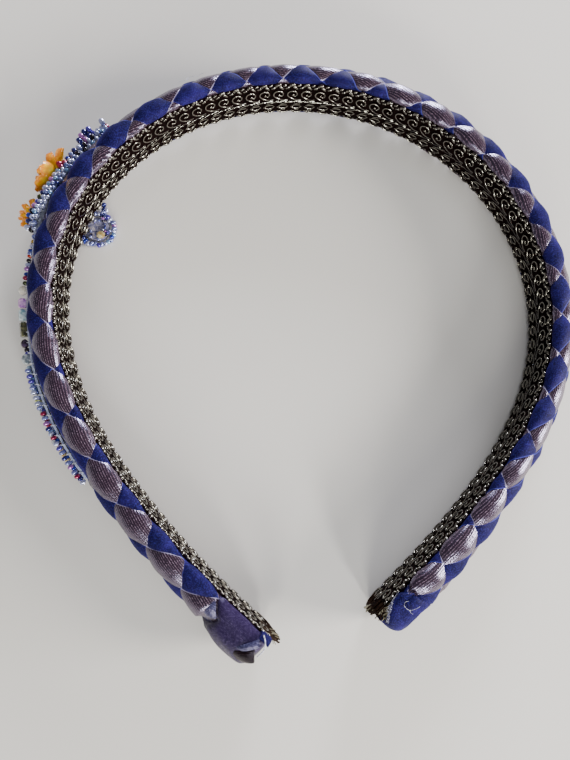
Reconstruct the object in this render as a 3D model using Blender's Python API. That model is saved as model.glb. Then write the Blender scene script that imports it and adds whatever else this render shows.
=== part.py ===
"""Padded fabric headband, lying on its side edge, built from its separate pieces.

A foam-padded band is woven over with two ribbons, lined with scroll gimp braid, and carries a
bead-embroidered spray on the outside of its left arm. One round lobe of the spray is curled under
the band's lower edge and lies flat just inside it, so the band leans a little, up on the lobe and
down along the right arm.

Sizes below are millimetres. Places on the band are given as
    arc   distance along the inner face from the crown, negative on the left arm
    out   distance outwards from the inner face
    z     height above the band's own lower edge
"""

from collections import namedtuple
from math import acos, cos, hypot, pi, radians, sin, sqrt

import bmesh
import bpy

MM = 0.001
GAP = 0.3

# The box of the whole object is centred on the origin
CENTRE_X = 0.145
CENTRE_Y = -69.315

# Band, crown to tip along its inner face
HALF_ARC = 194.0
BAND_MIDDLE = 7.25
TIP_INSET = 2.3

Bend = namedtuple("Bend", "arc left_radius right_radius")
BENDS = (
    Bend(0.0, 70.0, 70.0),
    Bend(40.0, 63.0, 67.0),
    Bend(80.0, 51.0, 57.0),
    Bend(115.0, 72.0, 57.0),
    Bend(145.0, 200.0, 125.0),
    Bend(175.0, 240.0, 310.0),
    Bend(205.0, 420.0, 2000.0),
)
TRACE_STEP = 0.5

# Outward stretch of the section, as a share, where the ribbons bunch up near the tips
Fullness = namedtuple("Fullness", "arc share")
FULLNESS = (
    Fullness(-184.0, 0.09),
    Fullness(-176.0, 0.06),
    Fullness(-165.0, 0.0),
    Fullness(150.0, 0.0),
    Fullness(160.0, 0.08),
    Fullness(175.0, 0.14),
)

# Section of the band: an ellipse cut off flat at the inner face
SECTION_CENTRE = 1.5
SECTION_OUT = 5.5
SECTION_UP = 7.3
SECTION_ROWS = 15

# The band leans about a line below the right arm
LEAN = 0.92
HINGE_X = 47.1
HINGE_Y = -107.7
UPHILL = (-0.766, 0.643)

# Ribbon weave: plum and royal diamonds in rows that drift across the band and slant along it
ROW_PERIOD = 11.0
SLANT_WALK = 3.0
COLUMNS_PER_LOBE = 4
PUFF_HIGH = 0.75
PUFF_LOW = -0.25
Weave = namedtuple("Weave", "arc lobe plum_row slant")
WEAVE = (
    Weave(-196.0, -2.4, 6.8, 0.27),
    Weave(-159.2, 0.5, 4.8, 0.27),
    Weave(-134.3, 2.5, 2.7, 0.27),
    Weave(-99.9, 5.5, 0.9, 0.27),
    Weave(-80.3, 7.5, -0.3, 0.27),
    Weave(-60.1, 9.5, -1.2, 0.27),
    Weave(-26.3, 12.5, -5.0, 0.1),
    Weave(2.7, 15.5, -5.1, 0.1),
    Weave(13.8, 16.5, -5.8, 0.1),
    Weave(24.0, 17.5, -7.6, 0.1),
    Weave(45.4, 19.5, -10.0, 0.1),
    Weave(56.0, 20.5, -10.6, 0.1),
    Weave(66.9, 21.5, -11.8, 0.1),
    Weave(88.0, 23.5, -13.2, 0.05),
    Weave(98.2, 24.5, -14.8, 0.0),
    Weave(118.5, 26.5, -15.3, -0.2),
    Weave(129.5, 27.5, -15.4, -0.3),
    Weave(139.7, 28.5, -16.8, -0.3),
    Weave(150.3, 29.5, -19.3, -0.3),
    Weave(162.1, 30.5, -20.3, -0.3),
    Weave(174.1, 31.5, -20.2, -0.3),
    Weave(184.7, 32.5, -21.2, -0.3),
    Weave(196.0, 33.5, -22.0, -0.3),
)

# Ribbon tails wrapped over the tips
LEFT_WRAP_START = 178.0
RIGHT_WRAP_START = 183.5
WRAP_STEP = 1.0
WRAP_THICK = 0.8
WRAP_BULK = 0.4
WRAP_TIP = 194.3
WRAP_ROUND = 2.4
WRAP_SECTIONS = (0.0, 0.25, 0.5, 0.72, 0.87, 0.92, 0.96, 1.0)
WRAP_PLATE = 0.9

# Gimp braid on the inner face
GIMP_WIDTH = 13.0
GIMP_THICK = 1.0
GIMP_PITCH = 3.5
GIMP_ENDS = 193.4
SCALLOP = 0.7

# Felt backing of the spray on the outer side of the left arm
FELT_BACK = 7.4
FELT_THICK = 0.9
FELT_STEP = 2.25
FELT_PRESS = 2.0
Outline = namedtuple("Outline", "arc low high")
FELT_OUTLINE = (
    Outline(-47.0, 5.6, 8.0),
    Outline(-51.0, 4.0, 9.4),
    Outline(-57.0, 2.8, 9.8),
    Outline(-64.0, 2.0, 10.2),
    Outline(-70.0, 1.6, 11.0),
    Outline(-74.5, 1.8, 12.0),
    Outline(-77.5, 3.0, 11.0),
    Outline(-79.5, 3.8, 8.4),
    Outline(-84.0, 3.6, 6.8),
    Outline(-101.0, 3.6, 6.8),
    Outline(-108.0, 2.0, 8.4),
    Outline(-118.0, 1.6, 8.6),
    Outline(-128.0, 1.9, 8.4),
    Outline(-133.0, 2.4, 7.8),
    Outline(-137.0, 4.0, 6.4),
)

# Beadwork on the felt
SEED = 1.7
FIELD_INSET = 2.0
FIELD_THICK = 1.5
CLUSTER_FIELD = (-51.5, -77.0)
Edging = namedtuple("Edging", "name base tip")
EDGINGS = (
    Edging("cluster_bead_edging", -78.6, -48.0),
    Edging("leaf_bead_edging", -108.4, -136.0),
)

# Lobe curled under the lower edge, centred by its place on the arc
LOBE_ARC = -69.0
LOBE_OUT = -2.4
LOBE_RADIUS = 5.5
LOBE_FELT = 1.0
LOBE_LIFT = 0.35
NECK_HALF = 3.0
NECK_TOP = 3.45
SHOULDER_OUT = 6.2
DENT_FLAT = 5.4
DENT_FADE = 2.4

Bloom = namedtuple("Bloom", "name arc z radius petals reach colour turn")
BLOOMS = (
    Bloom("upper_flower", -64.0, 6.6, 5.3, 5, 1.9, "f79a2e", 90.0),
    Bloom("lower_flower", -73.8, 7.0, 3.3, 5, 1.2, "f08a24", 90.0),
)
BLOOM_BASE = 10.4
PETAL_THICK = 0.7

Bead = namedtuple("Bead", "name arc size length colour")
BEADS = (
    Bead("ivory_bead", -90.3, 2.2, 0.0, "e9e2cf"),
    Bead("pink_cube_bead", -93.2, 2.1, 2.1, "c58bd0"),
    Bead("aqua_bugle", -95.9, 2.0, 2.6, "a9c9d6"),
    Bead("olive_bugle", -99.2, 1.9, 3.4, "4b4a34"),
    Bead("dark_bead", -102.4, 2.1, 0.0, "2c2a38"),
    Bead("silver_bead_middle", -105.9, 2.5, 0.0, "b9c0c8"),
    Bead("grey_bugle", -109.1, 1.9, 3.1, "7f93a8"),
    Bead("blue_bugle", -112.6, 1.9, 3.0, "6f95cf"),
    Bead("citron_cube_bead", -115.6, 2.1, 2.1, "cfd48a"),
    Bead("clear_bugle", -118.4, 1.9, 2.8, "c8d4da"),
    Bead("red_bead", -121.3, 2.0, 0.0, "a8283a"),
    Bead("sky_bead", -123.5, 2.0, 0.0, "6d93cc"),
    Bead("silver_bead_lower", -125.9, 2.4, 0.0, "c3c8cd"),
    Bead("gold_bugle", -129.2, 1.7, 4.0, "d8c88a"),
)
BEAD_Z = 5.1


def linear(hex_code):
    """Linear colour of an sRGB hex code."""
    parts = [int(hex_code[i:i + 2], 16) / 255 for i in (0, 2, 4)]
    return [p / 12.92 if p <= 0.04045 else ((p + 0.055) / 1.055) ** 2.4 for p in parts] + [1.0]


def material(name, hex_code, roughness, metallic=0.0):
    mat = bpy.data.materials.new(name)
    mat.use_nodes = True
    shader = mat.node_tree.nodes["Principled BSDF"]
    shader.inputs["Base Color"].default_value = linear(hex_code)
    shader.inputs["Roughness"].default_value = roughness
    shader.inputs["Metallic"].default_value = metallic
    return mat


def smooth(t):
    t = min(max(t, 0.0), 1.0)
    return t * t * (3 - 2 * t)


def between(rows, value, field, by="arc"):
    """One column's value where another column has the given value, even from row to row."""
    rows = sorted(rows, key=lambda row: getattr(row, by))
    value = min(max(value, getattr(rows[0], by)), getattr(rows[-1], by))
    for a, b in zip(rows, rows[1:]):
        if value <= getattr(b, by):
            t = (value - getattr(a, by)) / (getattr(b, by) - getattr(a, by))
            return getattr(a, field) * (1 - t) + getattr(b, field) * t


def trace_arm(field):
    """Points and headings along the inner face, from the crown to past one tip."""
    curvatures = [Bend(row.arc, 1 / row.left_radius, 1 / row.right_radius) for row in BENDS]
    places = []
    x = y = heading = 0.0
    for i in range(int(HALF_ARC / TRACE_STEP) + 4):
        places.append((x, y, heading))
        turn = between(curvatures, (i + 0.5) * TRACE_STEP, field) * TRACE_STEP
        x += cos(heading + turn / 2) * TRACE_STEP
        y -= sin(heading + turn / 2) * TRACE_STEP
        heading += turn
    return places


ARMS = {-1: trace_arm("left_radius"), 1: trace_arm("right_radius")}


def plan(arc, out):
    """Place over the floor, in millimetres from the crown."""
    side = -1 if arc < 0 else 1
    steps = abs(arc) / TRACE_STEP
    i = int(steps)
    t = steps - i
    a, b = ARMS[side][i], ARMS[side][i + 1]
    x, y, heading = (p + (q - p) * t for p, q in zip(a, b))
    return side * (x + sin(heading) * out), y + cos(heading) * out


def spot(arc, out, z, lowest=0.0):
    """Point in metres at a place on the leaning band, never lower than a height over the floor."""
    x, y = plan(arc, out + max(out, 0.0) * between(FULLNESS, arc, "share"))
    uphill = (x - HINGE_X) * UPHILL[0] + (y - HINGE_Y) * UPHILL[1]
    lean = radians(LEAN)
    shift = uphill * (cos(lean) - 1) - z * sin(lean)
    height = max(z * cos(lean) + uphill * sin(lean), lowest)
    return ((x + UPHILL[0] * shift - CENTRE_X) * MM, (y + UPHILL[1] * shift - CENTRE_Y) * MM, height * MM)


def floor_spot(arc, out, z):
    """Point in metres at a height over the floor."""
    x, y = plan(arc, out)
    return ((x - CENTRE_X) * MM, (y - CENTRE_Y) * MM, z * MM)


Row = namedtuple("Row", "walk out z toward_out toward_up")


def band_section():
    """Rows round the section from the upper to the lower inner corner, each with its normal."""
    corner = acos(-SECTION_CENTRE / SECTION_OUT)
    fine_steps = 720
    fine = []
    walked = 0.0
    for i in range(fine_steps + 1):
        a = corner * (1 - 2 * i / fine_steps)
        out = SECTION_CENTRE + SECTION_OUT * cos(a)
        z = BAND_MIDDLE + SECTION_UP * sin(a)
        size = hypot(cos(a) / SECTION_OUT, sin(a) / SECTION_UP)
        if fine:
            walked += hypot(out - fine[-1].out, z - fine[-1].z)
        fine.append(Row(walked, out, z, cos(a) / SECTION_OUT / size, sin(a) / SECTION_UP / size))
    rows = []
    for j in range(SECTION_ROWS + 1):
        target = walked * j / SECTION_ROWS
        rows.append(min(fine, key=lambda row: abs(row.walk - target)))
    return rows


SECTION = band_section()


def wrap_start(arc):
    return LEFT_WRAP_START if arc < 0 else RIGHT_WRAP_START


def under_wrap(arc):
    """1 where a ribbon tail covers the band, 0 where it doesn't."""
    return smooth((abs(arc) - wrap_start(arc)) / WRAP_STEP + 1)


def rest_height(arc):
    """Lowest height of the padded band: on the floor, on the curled lobe or in a ribbon wrap."""
    over_lobe = (SEED + GAP) * smooth((DENT_FLAT + DENT_FADE - abs(arc - LOBE_ARC)) / DENT_FADE)
    over_wrap = (GAP + WRAP_THICK) * under_wrap(arc)
    return max(over_lobe, over_wrap)


def puff(arc, row):
    """Height of the ribbon lobes: domes on the diamonds of the weave, pressed flat by the felt."""
    own_arc = arc - between(WEAVE, arc, "slant") * (row.walk - SLANT_WALK)
    lobe = between(WEAVE, own_arc, "lobe")
    across = (row.walk - between(WEAVE, own_arc, "plum_row")) / ROW_PERIOD
    dome = abs(cos(pi * (lobe + across)) * cos(pi * (lobe - across))) ** 0.7
    lift = PUFF_LOW + (PUFF_HIGH - PUFF_LOW) * dome
    from_felt = max(FELT_OUTLINE[-1].arc - arc, arc - FELT_OUTLINE[0].arc)
    under_felt = smooth(1 - from_felt / FELT_PRESS) * smooth((row.toward_out - 0.5) * 4)
    lift *= 1 - under_felt
    sunk = under_wrap(arc)
    return lift * (1 - sunk) - (GAP + WRAP_THICK) * sunk


def add_mesh(name, mat, points, faces, flat=False):
    mesh = bpy.data.meshes.new(name)
    mesh.from_pydata(points, [], faces)
    obj = bpy.data.objects.new(name, mesh)
    bpy.context.collection.objects.link(obj)
    mesh.materials.append(mat)
    bm = bmesh.new()
    bm.from_mesh(mesh)
    bmesh.ops.recalc_face_normals(bm, faces=bm.faces)
    bm.to_mesh(mesh)
    bm.free()
    if not flat:
        mesh.shade_smooth()
        mesh.set_sharp_from_angle(angle=radians(40))
    return obj


def loft(name, mat, loops, flat=False):
    """Closed solid through loops of equal length, with a flat face at both ends."""
    count = len(loops[0])
    points = [p for loop in loops for p in loop]
    faces = []
    for k in range(len(loops) - 1):
        for i in range(count):
            j = (i + 1) % count
            faces.append((k * count + i, k * count + j, (k + 1) * count + j, (k + 1) * count + i))
    last = (len(loops) - 1) * count
    faces.append(tuple(range(count)))
    faces.append(tuple(last + i for i in range(count)))
    return add_mesh(name, mat, points, faces, flat)


def padded_band():
    """Foam-padded band with the woven ribbons as low domes, flat on its inner face."""
    end = HALF_ARC - TIP_INSET
    first = int(COLUMNS_PER_LOBE * between(WEAVE, -end, "lobe")) + 1
    last = int(COLUMNS_PER_LOBE * between(WEAVE, end, "lobe"))
    arcs = [between(WEAVE, k / COLUMNS_PER_LOBE, "arc", by="lobe") for k in range(first, last + 1)]
    fixed = [side * arc for side in (-1, 1) for arc in (end, wrap_start(side), wrap_start(side) - WRAP_STEP)]
    arcs = sorted(fixed + [arc for arc in arcs if min(abs(arc - other) for other in fixed) > 0.8])
    loops = []
    for arc in arcs:
        loop = []
        for row in SECTION:
            lift = puff(arc, row)
            out, z = row.out + row.toward_out * lift, row.z + row.toward_up * lift
            loop.append(spot(arc, out, z, rest_height(arc)))
        loops.append(loop)
    loft("padded_band", material("navy_ribbon", "2b3480", 0.6), loops)


def tip_wrap(name, side, start, mat):
    """Ribbon tail folded over one tip: three sides and the end, open on the inner face."""
    loops = []
    for t in WRAP_SECTIONS:
        arc = start + (WRAP_TIP - start) * t
        past = max(0.0, arc - (WRAP_TIP - WRAP_ROUND)) / WRAP_ROUND
        shrink = 1 - 0.35 * (1 - sqrt(max(0.0, 1 - past * past)))

        def place(row, lift):
            height = BAND_MIDDLE + (row.z + row.toward_up * lift - BAND_MIDDLE) * shrink
            return (row.out + row.toward_out * lift) * (1 + shrink) / 2, height

        outer = [place(row, WRAP_BULK * max(row.toward_out, 0.0)) for row in SECTION]
        inner = [place(row, -WRAP_THICK) for row in SECTION]
        if t >= WRAP_PLATE:
            a, b = inner[0], inner[-1]
            steps = [k / SECTION_ROWS for k in range(SECTION_ROWS + 1)]
            inner = [(a[0] + (b[0] - a[0]) * s, a[1] + (b[1] - a[1]) * s) for s in steps]
        shell = [spot(side * arc, out, z) for out, z in outer]
        shell += [spot(side * arc, out, z, WRAP_THICK) for out, z in reversed(inner)]
        loops.append(shell)
    loft(name, mat, loops)


def gimp_trim():
    """Braid strip glued to the inner face, scalloped along both edges."""
    stations = int(2 * GIMP_ENDS / GIMP_PITCH) * 2
    loops = []
    for k in range(stations + 1):
        arc = -GIMP_ENDS + 2 * GIMP_ENDS * k / stations
        half = GIMP_WIDTH / 2 - (SCALLOP if k % 2 else 0.0)
        low, high = BAND_MIDDLE - half, BAND_MIDDLE + half
        face = -GAP - GIMP_THICK
        loops.append([spot(arc, -GAP, low), spot(arc, face, low + 0.4), spot(arc, face - 0.2, BAND_MIDDLE),
                      spot(arc, face, high - 0.4), spot(arc, -GAP, high)])
    loft("gimp_trim", material("black_gimp", "1b1618", 0.4), loops)


def strip_on_felt(name, mat, start, end, inset, back, thick, dome=0.0):
    """Solid that follows the felt's outline between two arcs."""
    count = max(4, int(abs(end - start) / FELT_STEP))
    loops = []
    for k in range(count + 1):
        arc = start + (end - start) * k / count
        low = between(FELT_OUTLINE, arc, "low") + inset
        high = between(FELT_OUTLINE, arc, "high") - inset
        middle = (low + high) / 2
        front = back + thick
        loops.append([spot(arc, back, low), spot(arc, front - dome, low + dome / 2), spot(arc, front, middle),
                      spot(arc, front - dome, high - dome / 2), spot(arc, back, high)])
    loft(name, mat, loops)


def bead_tube(name, mat, route, size):
    """Tube that a row of seed beads fills, through points read from a smooth route."""
    curve = bpy.data.curves.new(name, "CURVE")
    curve.dimensions = "3D"
    curve.bevel_depth = size / 2 * MM
    curve.bevel_resolution = 2
    curve.use_fill_caps = True
    line = curve.splines.new("POLY")
    line.points.add(len(route) - 1)
    for point, place in zip(line.points, route):
        point.co = (*place, 1.0)
    curve.materials.append(mat)
    bpy.context.collection.objects.link(bpy.data.objects.new(name, curve))


def edging_route(edging):
    """Route inside the felt's upper edge, round its tip and back inside the lower edge."""
    front = FELT_BACK + FELT_THICK + GAP + SEED / 2
    steps = max(6, int(abs(edging.tip - edging.base) / FELT_STEP))
    upper, lower = [], []
    for k in range(steps):
        arc = edging.base + (edging.tip - edging.base) * k / steps
        low, high = (between(FELT_OUTLINE, arc, field) for field in ("low", "high"))
        upper.append(spot(arc, front, high - SEED / 2))
        lower.append(spot(arc, front, low + SEED / 2))
    middle = sum(between(FELT_OUTLINE, edging.tip, field) for field in ("low", "high")) / 2
    return upper + [spot(edging.tip, front, middle)] + lower[::-1]


def curled_lobe():
    """Neck and disc of felt that pass under the lower edge and lie flat inside the band."""
    low, high = LOBE_LIFT, LOBE_LIFT + LOBE_FELT
    disc = LOBE_RADIUS - SEED - GAP
    sides = 14
    corners = []
    for k in range(sides + 1):
        a = radians(-120 + 240 * k / sides)
        corners.append((LOBE_ARC + disc * sin(a), LOBE_OUT - disc * cos(a)))
    outline = [(LOBE_ARC + NECK_HALF, SHOULDER_OUT)] + corners[::-1] + [(LOBE_ARC - NECK_HALF, SHOULDER_OUT)]
    points = [floor_spot(arc, out, z) for z in (low, high) for arc, out in outline]
    count = len(outline)
    faces = [tuple(range(count)), tuple(count + k for k in range(count))]
    faces += [(k, k + 1, count + k + 1, count + k) for k in range(count - 1)]
    turned = []
    for arc in (LOBE_ARC - NECK_HALF, LOBE_ARC + NECK_HALF):
        first = len(points)
        points += [floor_spot(arc, FELT_BACK, high + 0.1), floor_spot(arc, FELT_BACK, NECK_TOP)]
        points += [floor_spot(arc, FELT_BACK + FELT_THICK, NECK_TOP)]
        points += [floor_spot(arc, FELT_BACK + FELT_THICK, low + 0.6), floor_spot(arc, FELT_BACK + 0.4, low)]
        turned.append([first + k for k in range(5)])
    left = [2 * count - 1] + turned[0] + [count - 1]
    right = [count] + turned[1] + [0]
    faces += [tuple(left), tuple(right)]
    faces += [(left[k], left[k + 1], right[k + 1], right[k]) for k in range(len(left) - 1)]
    add_mesh("curled_lobe", material("grey_felt", "8e93a8", 0.9), points, faces)


def lobe_rim(mat):
    """Ring of beads round the lobe, open where its neck passes under the band."""
    ring = LOBE_RADIUS - SEED / 2
    route = []
    steps = 18
    for k in range(steps + 1):
        a = radians(-116 + 232 * k / steps)
        route.append(floor_spot(LOBE_ARC + ring * sin(a), LOBE_OUT - ring * cos(a), SEED / 2))
    bead_tube("lobe_bead_rim", mat, route, SEED)


def lobe_stone():
    """Small cut stone on the lobe: flat table, eight crown facets and a short girdle."""
    arc, out = LOBE_ARC - 1.3, LOBE_OUT - 1.9
    base = LOBE_LIFT + LOBE_FELT + GAP
    loops = []
    for radius, z in ((1.1, base), (1.25, base + 0.35), (0.7, base + 0.9)):
        ring = [radians(45 * k) for k in range(8)]
        loops.append([floor_spot(arc + radius * sin(a), out - radius * cos(a), z) for a in ring])
    loft("lobe_stone", material("champagne_crystal", "f3e6b4", 0.1), loops, flat=True)


def flower(bloom):
    """Cupped flower facing outwards, its pointed petals spreading from a small base."""
    around = bloom.petals * 6
    rings = (0.16, 0.45, 0.75, 1.0)

    def place(ring, a, lift):
        lobe = abs(cos(bloom.petals * a / 2))
        radius = bloom.radius * ring * (1 if ring < 0.3 else 0.62 + 0.38 * lobe ** 0.7)
        cup = bloom.reach * ring ** 1.6 * (0.75 + 0.25 * lobe)
        turn = a + radians(bloom.turn)
        return spot(bloom.arc + radius * cos(turn), BLOOM_BASE + cup + lift, bloom.z + radius * sin(turn))

    points = []
    for lift in (0.0, PETAL_THICK):
        points.append(spot(bloom.arc, BLOOM_BASE + lift, bloom.z))
        for ring in rings:
            points += [place(ring, 2 * pi * k / around, lift) for k in range(around)]
    half = 1 + len(rings) * around
    faces = []
    for first in (0, half):
        for k in range(around):
            j = (k + 1) % around
            faces.append((first, first + 1 + k, first + 1 + j))
            for r in range(len(rings) - 1):
                a, b = first + 1 + r * around, first + 1 + (r + 1) * around
                faces.append((a + k, b + k, b + j, a + j))
    edge = 1 + (len(rings) - 1) * around
    for k in range(around):
        j = (k + 1) % around
        faces.append((edge + k, edge + j, half + edge + j, half + edge + k))
    add_mesh(bloom.name, material(bloom.name + "_petals", bloom.colour, 0.35), points, faces)


def main_bead(bead):
    """Round bead, or a bugle or cube bead that lies along the band."""
    out = FELT_BACK + FELT_THICK + GAP + bead.size / 2
    radius = bead.size / 2
    loops = []
    if bead.length:
        half = bead.length / 2
        shape = ((-half, 0.72), (-half + 0.25, 1.0), (half - 0.25, 1.0), (half, 0.72))
        sides = 8
    else:
        turns = [radians(-90 + 180 * (k + 0.5) / 6) for k in range(6)]
        shape = [(radius * sin(a), cos(a)) for a in turns]
        sides = 10
    for along, size in shape:
        ring = [2 * pi * (k + 0.5) / sides for k in range(sides)]
        loops.append([spot(bead.arc + along, out + radius * size * cos(a), BEAD_Z + radius * size * sin(a))
                      for a in ring])
    loft(bead.name, material(bead.name + "_glass", bead.colour, 0.15), loops)


def clear_scene():
    for obj in list(bpy.data.objects):
        bpy.data.objects.remove(obj, do_unlink=True)


def build():
    clear_scene()
    padded_band()
    tip_wrap("left_tip_wrap", -1, LEFT_WRAP_START, material("plum_ribbon", "5b4a78", 0.4))
    tip_wrap("right_tip_wrap", 1, RIGHT_WRAP_START, material("royal_ribbon", "323d92", 0.55))
    gimp_trim()
    felt = material("applique_felt", "7f879e", 0.9)
    strip_on_felt("applique_backing", felt, FELT_OUTLINE[0].arc, FELT_OUTLINE[-1].arc, 0.0, FELT_BACK, FELT_THICK)
    seeds = material("iris_seed_beads", "6f7fae", 0.25)
    for edging in EDGINGS:
        bead_tube(edging.name, seeds, edging_route(edging), SEED)
    beads = material("bead_embroidery", "8a90b4", 0.3)
    front = FELT_BACK + FELT_THICK + GAP
    strip_on_felt("cluster_beadwork", beads, *CLUSTER_FIELD, FIELD_INSET, front, FIELD_THICK, 0.5)
    curled_lobe()
    lobe_rim(seeds)
    lobe_stone()
    for bloom in BLOOMS:
        flower(bloom)
    for bead in BEADS:
        main_bead(bead)


build()
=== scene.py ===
"""Looks of a padded headband, woven over with two ribbons, lined with scroll gimp and sewn with a
spray of beads on its left arm. It lies on its side edge and leans a little, up on a curled felt lobe.

Sizes are millimetres. Places on the band are given as
    arc   distance along the inner face from the crown, negative on the left arm
    out   distance outwards from the inner face
    z     height above the band's own lower edge
    walk  distance round the band's section, from its upper inner corner outwards
"""

from math import acos, cos, pi, radians, sin

import bmesh
import bpy
import numpy as np
from mathutils import Matrix, Vector


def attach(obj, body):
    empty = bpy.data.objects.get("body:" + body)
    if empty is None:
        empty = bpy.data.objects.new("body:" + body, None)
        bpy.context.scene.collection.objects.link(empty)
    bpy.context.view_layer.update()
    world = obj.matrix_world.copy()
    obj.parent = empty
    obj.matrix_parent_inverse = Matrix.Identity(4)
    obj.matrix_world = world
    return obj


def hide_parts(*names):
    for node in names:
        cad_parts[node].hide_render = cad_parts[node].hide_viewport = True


MM = 0.001

# The band's own shape

CENTRE_X = 0.145
CENTRE_Y = -69.315
# The band turns by LEAN about a line through the hinge, and rises uphill of it
LEAN = radians(0.92)
HINGE_X = 47.1
HINGE_Y = -107.7
UPHILL = (-0.766, 0.643)

# Bend radius of the left and the right arm, by distance from the crown
BENDS = np.array([
    (0.0, 70.0, 70.0),
    (40.0, 63.0, 67.0),
    (80.0, 51.0, 57.0),
    (115.0, 72.0, 57.0),
    (145.0, 200.0, 125.0),
    (175.0, 240.0, 310.0),
    (205.0, 420.0, 2000.0),
])
# Share by which the section is thicker near the tips, by arc
FULLNESS = np.array([(-184.0, 0.09), (-176.0, 0.06), (-165.0, 0.0), (150.0, 0.0), (160.0, 0.08),
                     (175.0, 0.14)])
TRACE_STEP = 0.5
TRACE_LENGTH = 200.0

# The section is an ellipse that the flat inner face cuts off
BAND_MIDDLE = 7.25
SECTION_CENTRE = 1.5
SECTION_OUT = 5.5
SECTION_UP = 7.3
SECTION_WALK = 23.3
SECTION_STEP = 0.05
CORNER_STEPS = 10
FACE_TUCK = 4.0
FLOOR_CLEAR = 0.03

# Ribbon weave: place along the band, lobe number, where the plum row lies and how far rows slant
WEAVE = np.array([
    (-196.0, -2.4, 6.8, 0.27),
    (-159.2, 0.5, 4.8, 0.27),
    (-134.3, 2.5, 2.7, 0.27),
    (-99.9, 5.5, 0.9, 0.27),
    (-80.3, 7.5, -0.3, 0.27),
    (-60.1, 9.5, -1.2, 0.27),
    (-26.3, 12.5, -5.0, 0.1),
    (2.7, 15.5, -5.1, 0.1),
    (13.8, 16.5, -5.8, 0.1),
    (24.0, 17.5, -7.6, 0.1),
    (45.4, 19.5, -10.0, 0.1),
    (56.0, 20.5, -10.6, 0.1),
    (66.9, 21.5, -11.8, 0.1),
    (88.0, 23.5, -13.2, 0.05),
    (98.2, 24.5, -14.8, 0.0),
    (118.5, 26.5, -15.3, -0.2),
    (129.5, 27.5, -15.4, -0.3),
    (139.7, 28.5, -16.8, -0.3),
    (150.3, 29.5, -19.3, -0.3),
    (162.1, 30.5, -20.3, -0.3),
    (174.1, 31.5, -20.2, -0.3),
    (184.7, 32.5, -21.2, -0.3),
    (196.0, 33.5, -22.0, -0.3),
])
ROW_PERIOD = 11.0
SLANT_WALK = 3.0
RIBBON_WIDTH = 7.6

FELT_BACK = 7.4
FELT_THICK = 0.9
FELT_FACE = FELT_BACK + FELT_THICK
# Lower and upper edge of the felt, by arc
FELT_OUTLINE = np.array([
    (-137.0, 4.0, 6.4),
    (-133.0, 2.4, 7.8),
    (-128.0, 1.9, 8.4),
    (-118.0, 1.6, 8.6),
    (-108.0, 2.0, 8.4),
    (-101.0, 3.6, 6.8),
    (-84.0, 3.6, 6.8),
    (-79.5, 3.8, 8.4),
    (-77.5, 3.0, 11.0),
    (-74.5, 1.8, 12.0),
    (-70.0, 1.6, 11.0),
    (-64.0, 2.0, 10.2),
    (-57.0, 2.8, 9.8),
    (-51.0, 4.0, 9.4),
    (-47.0, 5.6, 8.0),
])
SEED = 1.7
STEM_Z = 5.1
LOBE_ARC = -69.0
LOBE_OUT = -2.4
LOBE_RADIUS = 5.5
# The band lies up on the lobe over this much of it, and comes down beside it
LOBE_LIFT = 1.92
LOBE_HALF = 7.8
LOBE_SLOPE = 2.4


def smooth(t):
    t = np.clip(t, 0.0, 1.0)
    return t * t * (3 - 2 * t)


def trace_band():
    """Arc, x, y and heading along the inner face, from tip to tip."""
    arms = []
    for side, column in ((-1, 1), (1, 2)):
        x = y = heading = 0.0
        arm = []
        for i in range(int(TRACE_LENGTH / TRACE_STEP) + 1):
            arm.append((side * i * TRACE_STEP, side * x, y, side * heading))
            turn = np.interp((i + 0.5) * TRACE_STEP, BENDS[:, 0], 1 / BENDS[:, column]) * TRACE_STEP
            x += cos(heading + turn / 2) * TRACE_STEP
            y -= sin(heading + turn / 2) * TRACE_STEP
            heading += turn
        arms.append(arm)
    return np.array(arms[0][:0:-1] + arms[1]).T


TRACE = trace_band()


def plan(arc, out):
    """X and y beside the inner face."""
    x, y, heading = (np.interp(arc, TRACE[0], column) for column in TRACE[1:])
    return x + np.sin(heading) * out, y + np.cos(heading) * out


def spot(arc, out, z, lowest=0.0):
    """Points in metres at places on the leaning band, never lower than a height over the floor."""
    arc, out, z = np.broadcast_arrays(np.asarray(arc, float), out, z)
    x, y = plan(arc, out + np.maximum(out, 0.0) * np.interp(arc, FULLNESS[:, 0], FULLNESS[:, 1]))
    uphill = (x - HINGE_X) * UPHILL[0] + (y - HINGE_Y) * UPHILL[1]
    shift = uphill * (cos(LEAN) - 1) - z * sin(LEAN)
    x, y = x + UPHILL[0] * shift, y + UPHILL[1] * shift
    height = np.maximum(z * cos(LEAN) + uphill * sin(LEAN), lowest)
    return np.stack([x - CENTRE_X, y - CENTRE_Y, height], -1) * MM


def floor_spot(arc, out, z):
    """Points in metres at heights over the floor."""
    arc, out, z = np.broadcast_arrays(np.asarray(arc, float), out, z)
    x, y = plan(arc, out)
    return np.stack([x - CENTRE_X, y - CENTRE_Y, z], -1) * MM


def forward(arc):
    """Direction of growing arc."""
    heading = np.interp(arc, TRACE[0], TRACE[3])
    return np.stack([np.cos(heading), -np.sin(heading), np.zeros_like(heading)], -1)


def outward(arc):
    """Direction away from the inner face."""
    heading = np.interp(arc, TRACE[0], TRACE[3])
    return np.stack([np.sin(heading), np.cos(heading), np.zeros_like(heading)], -1)


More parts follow.
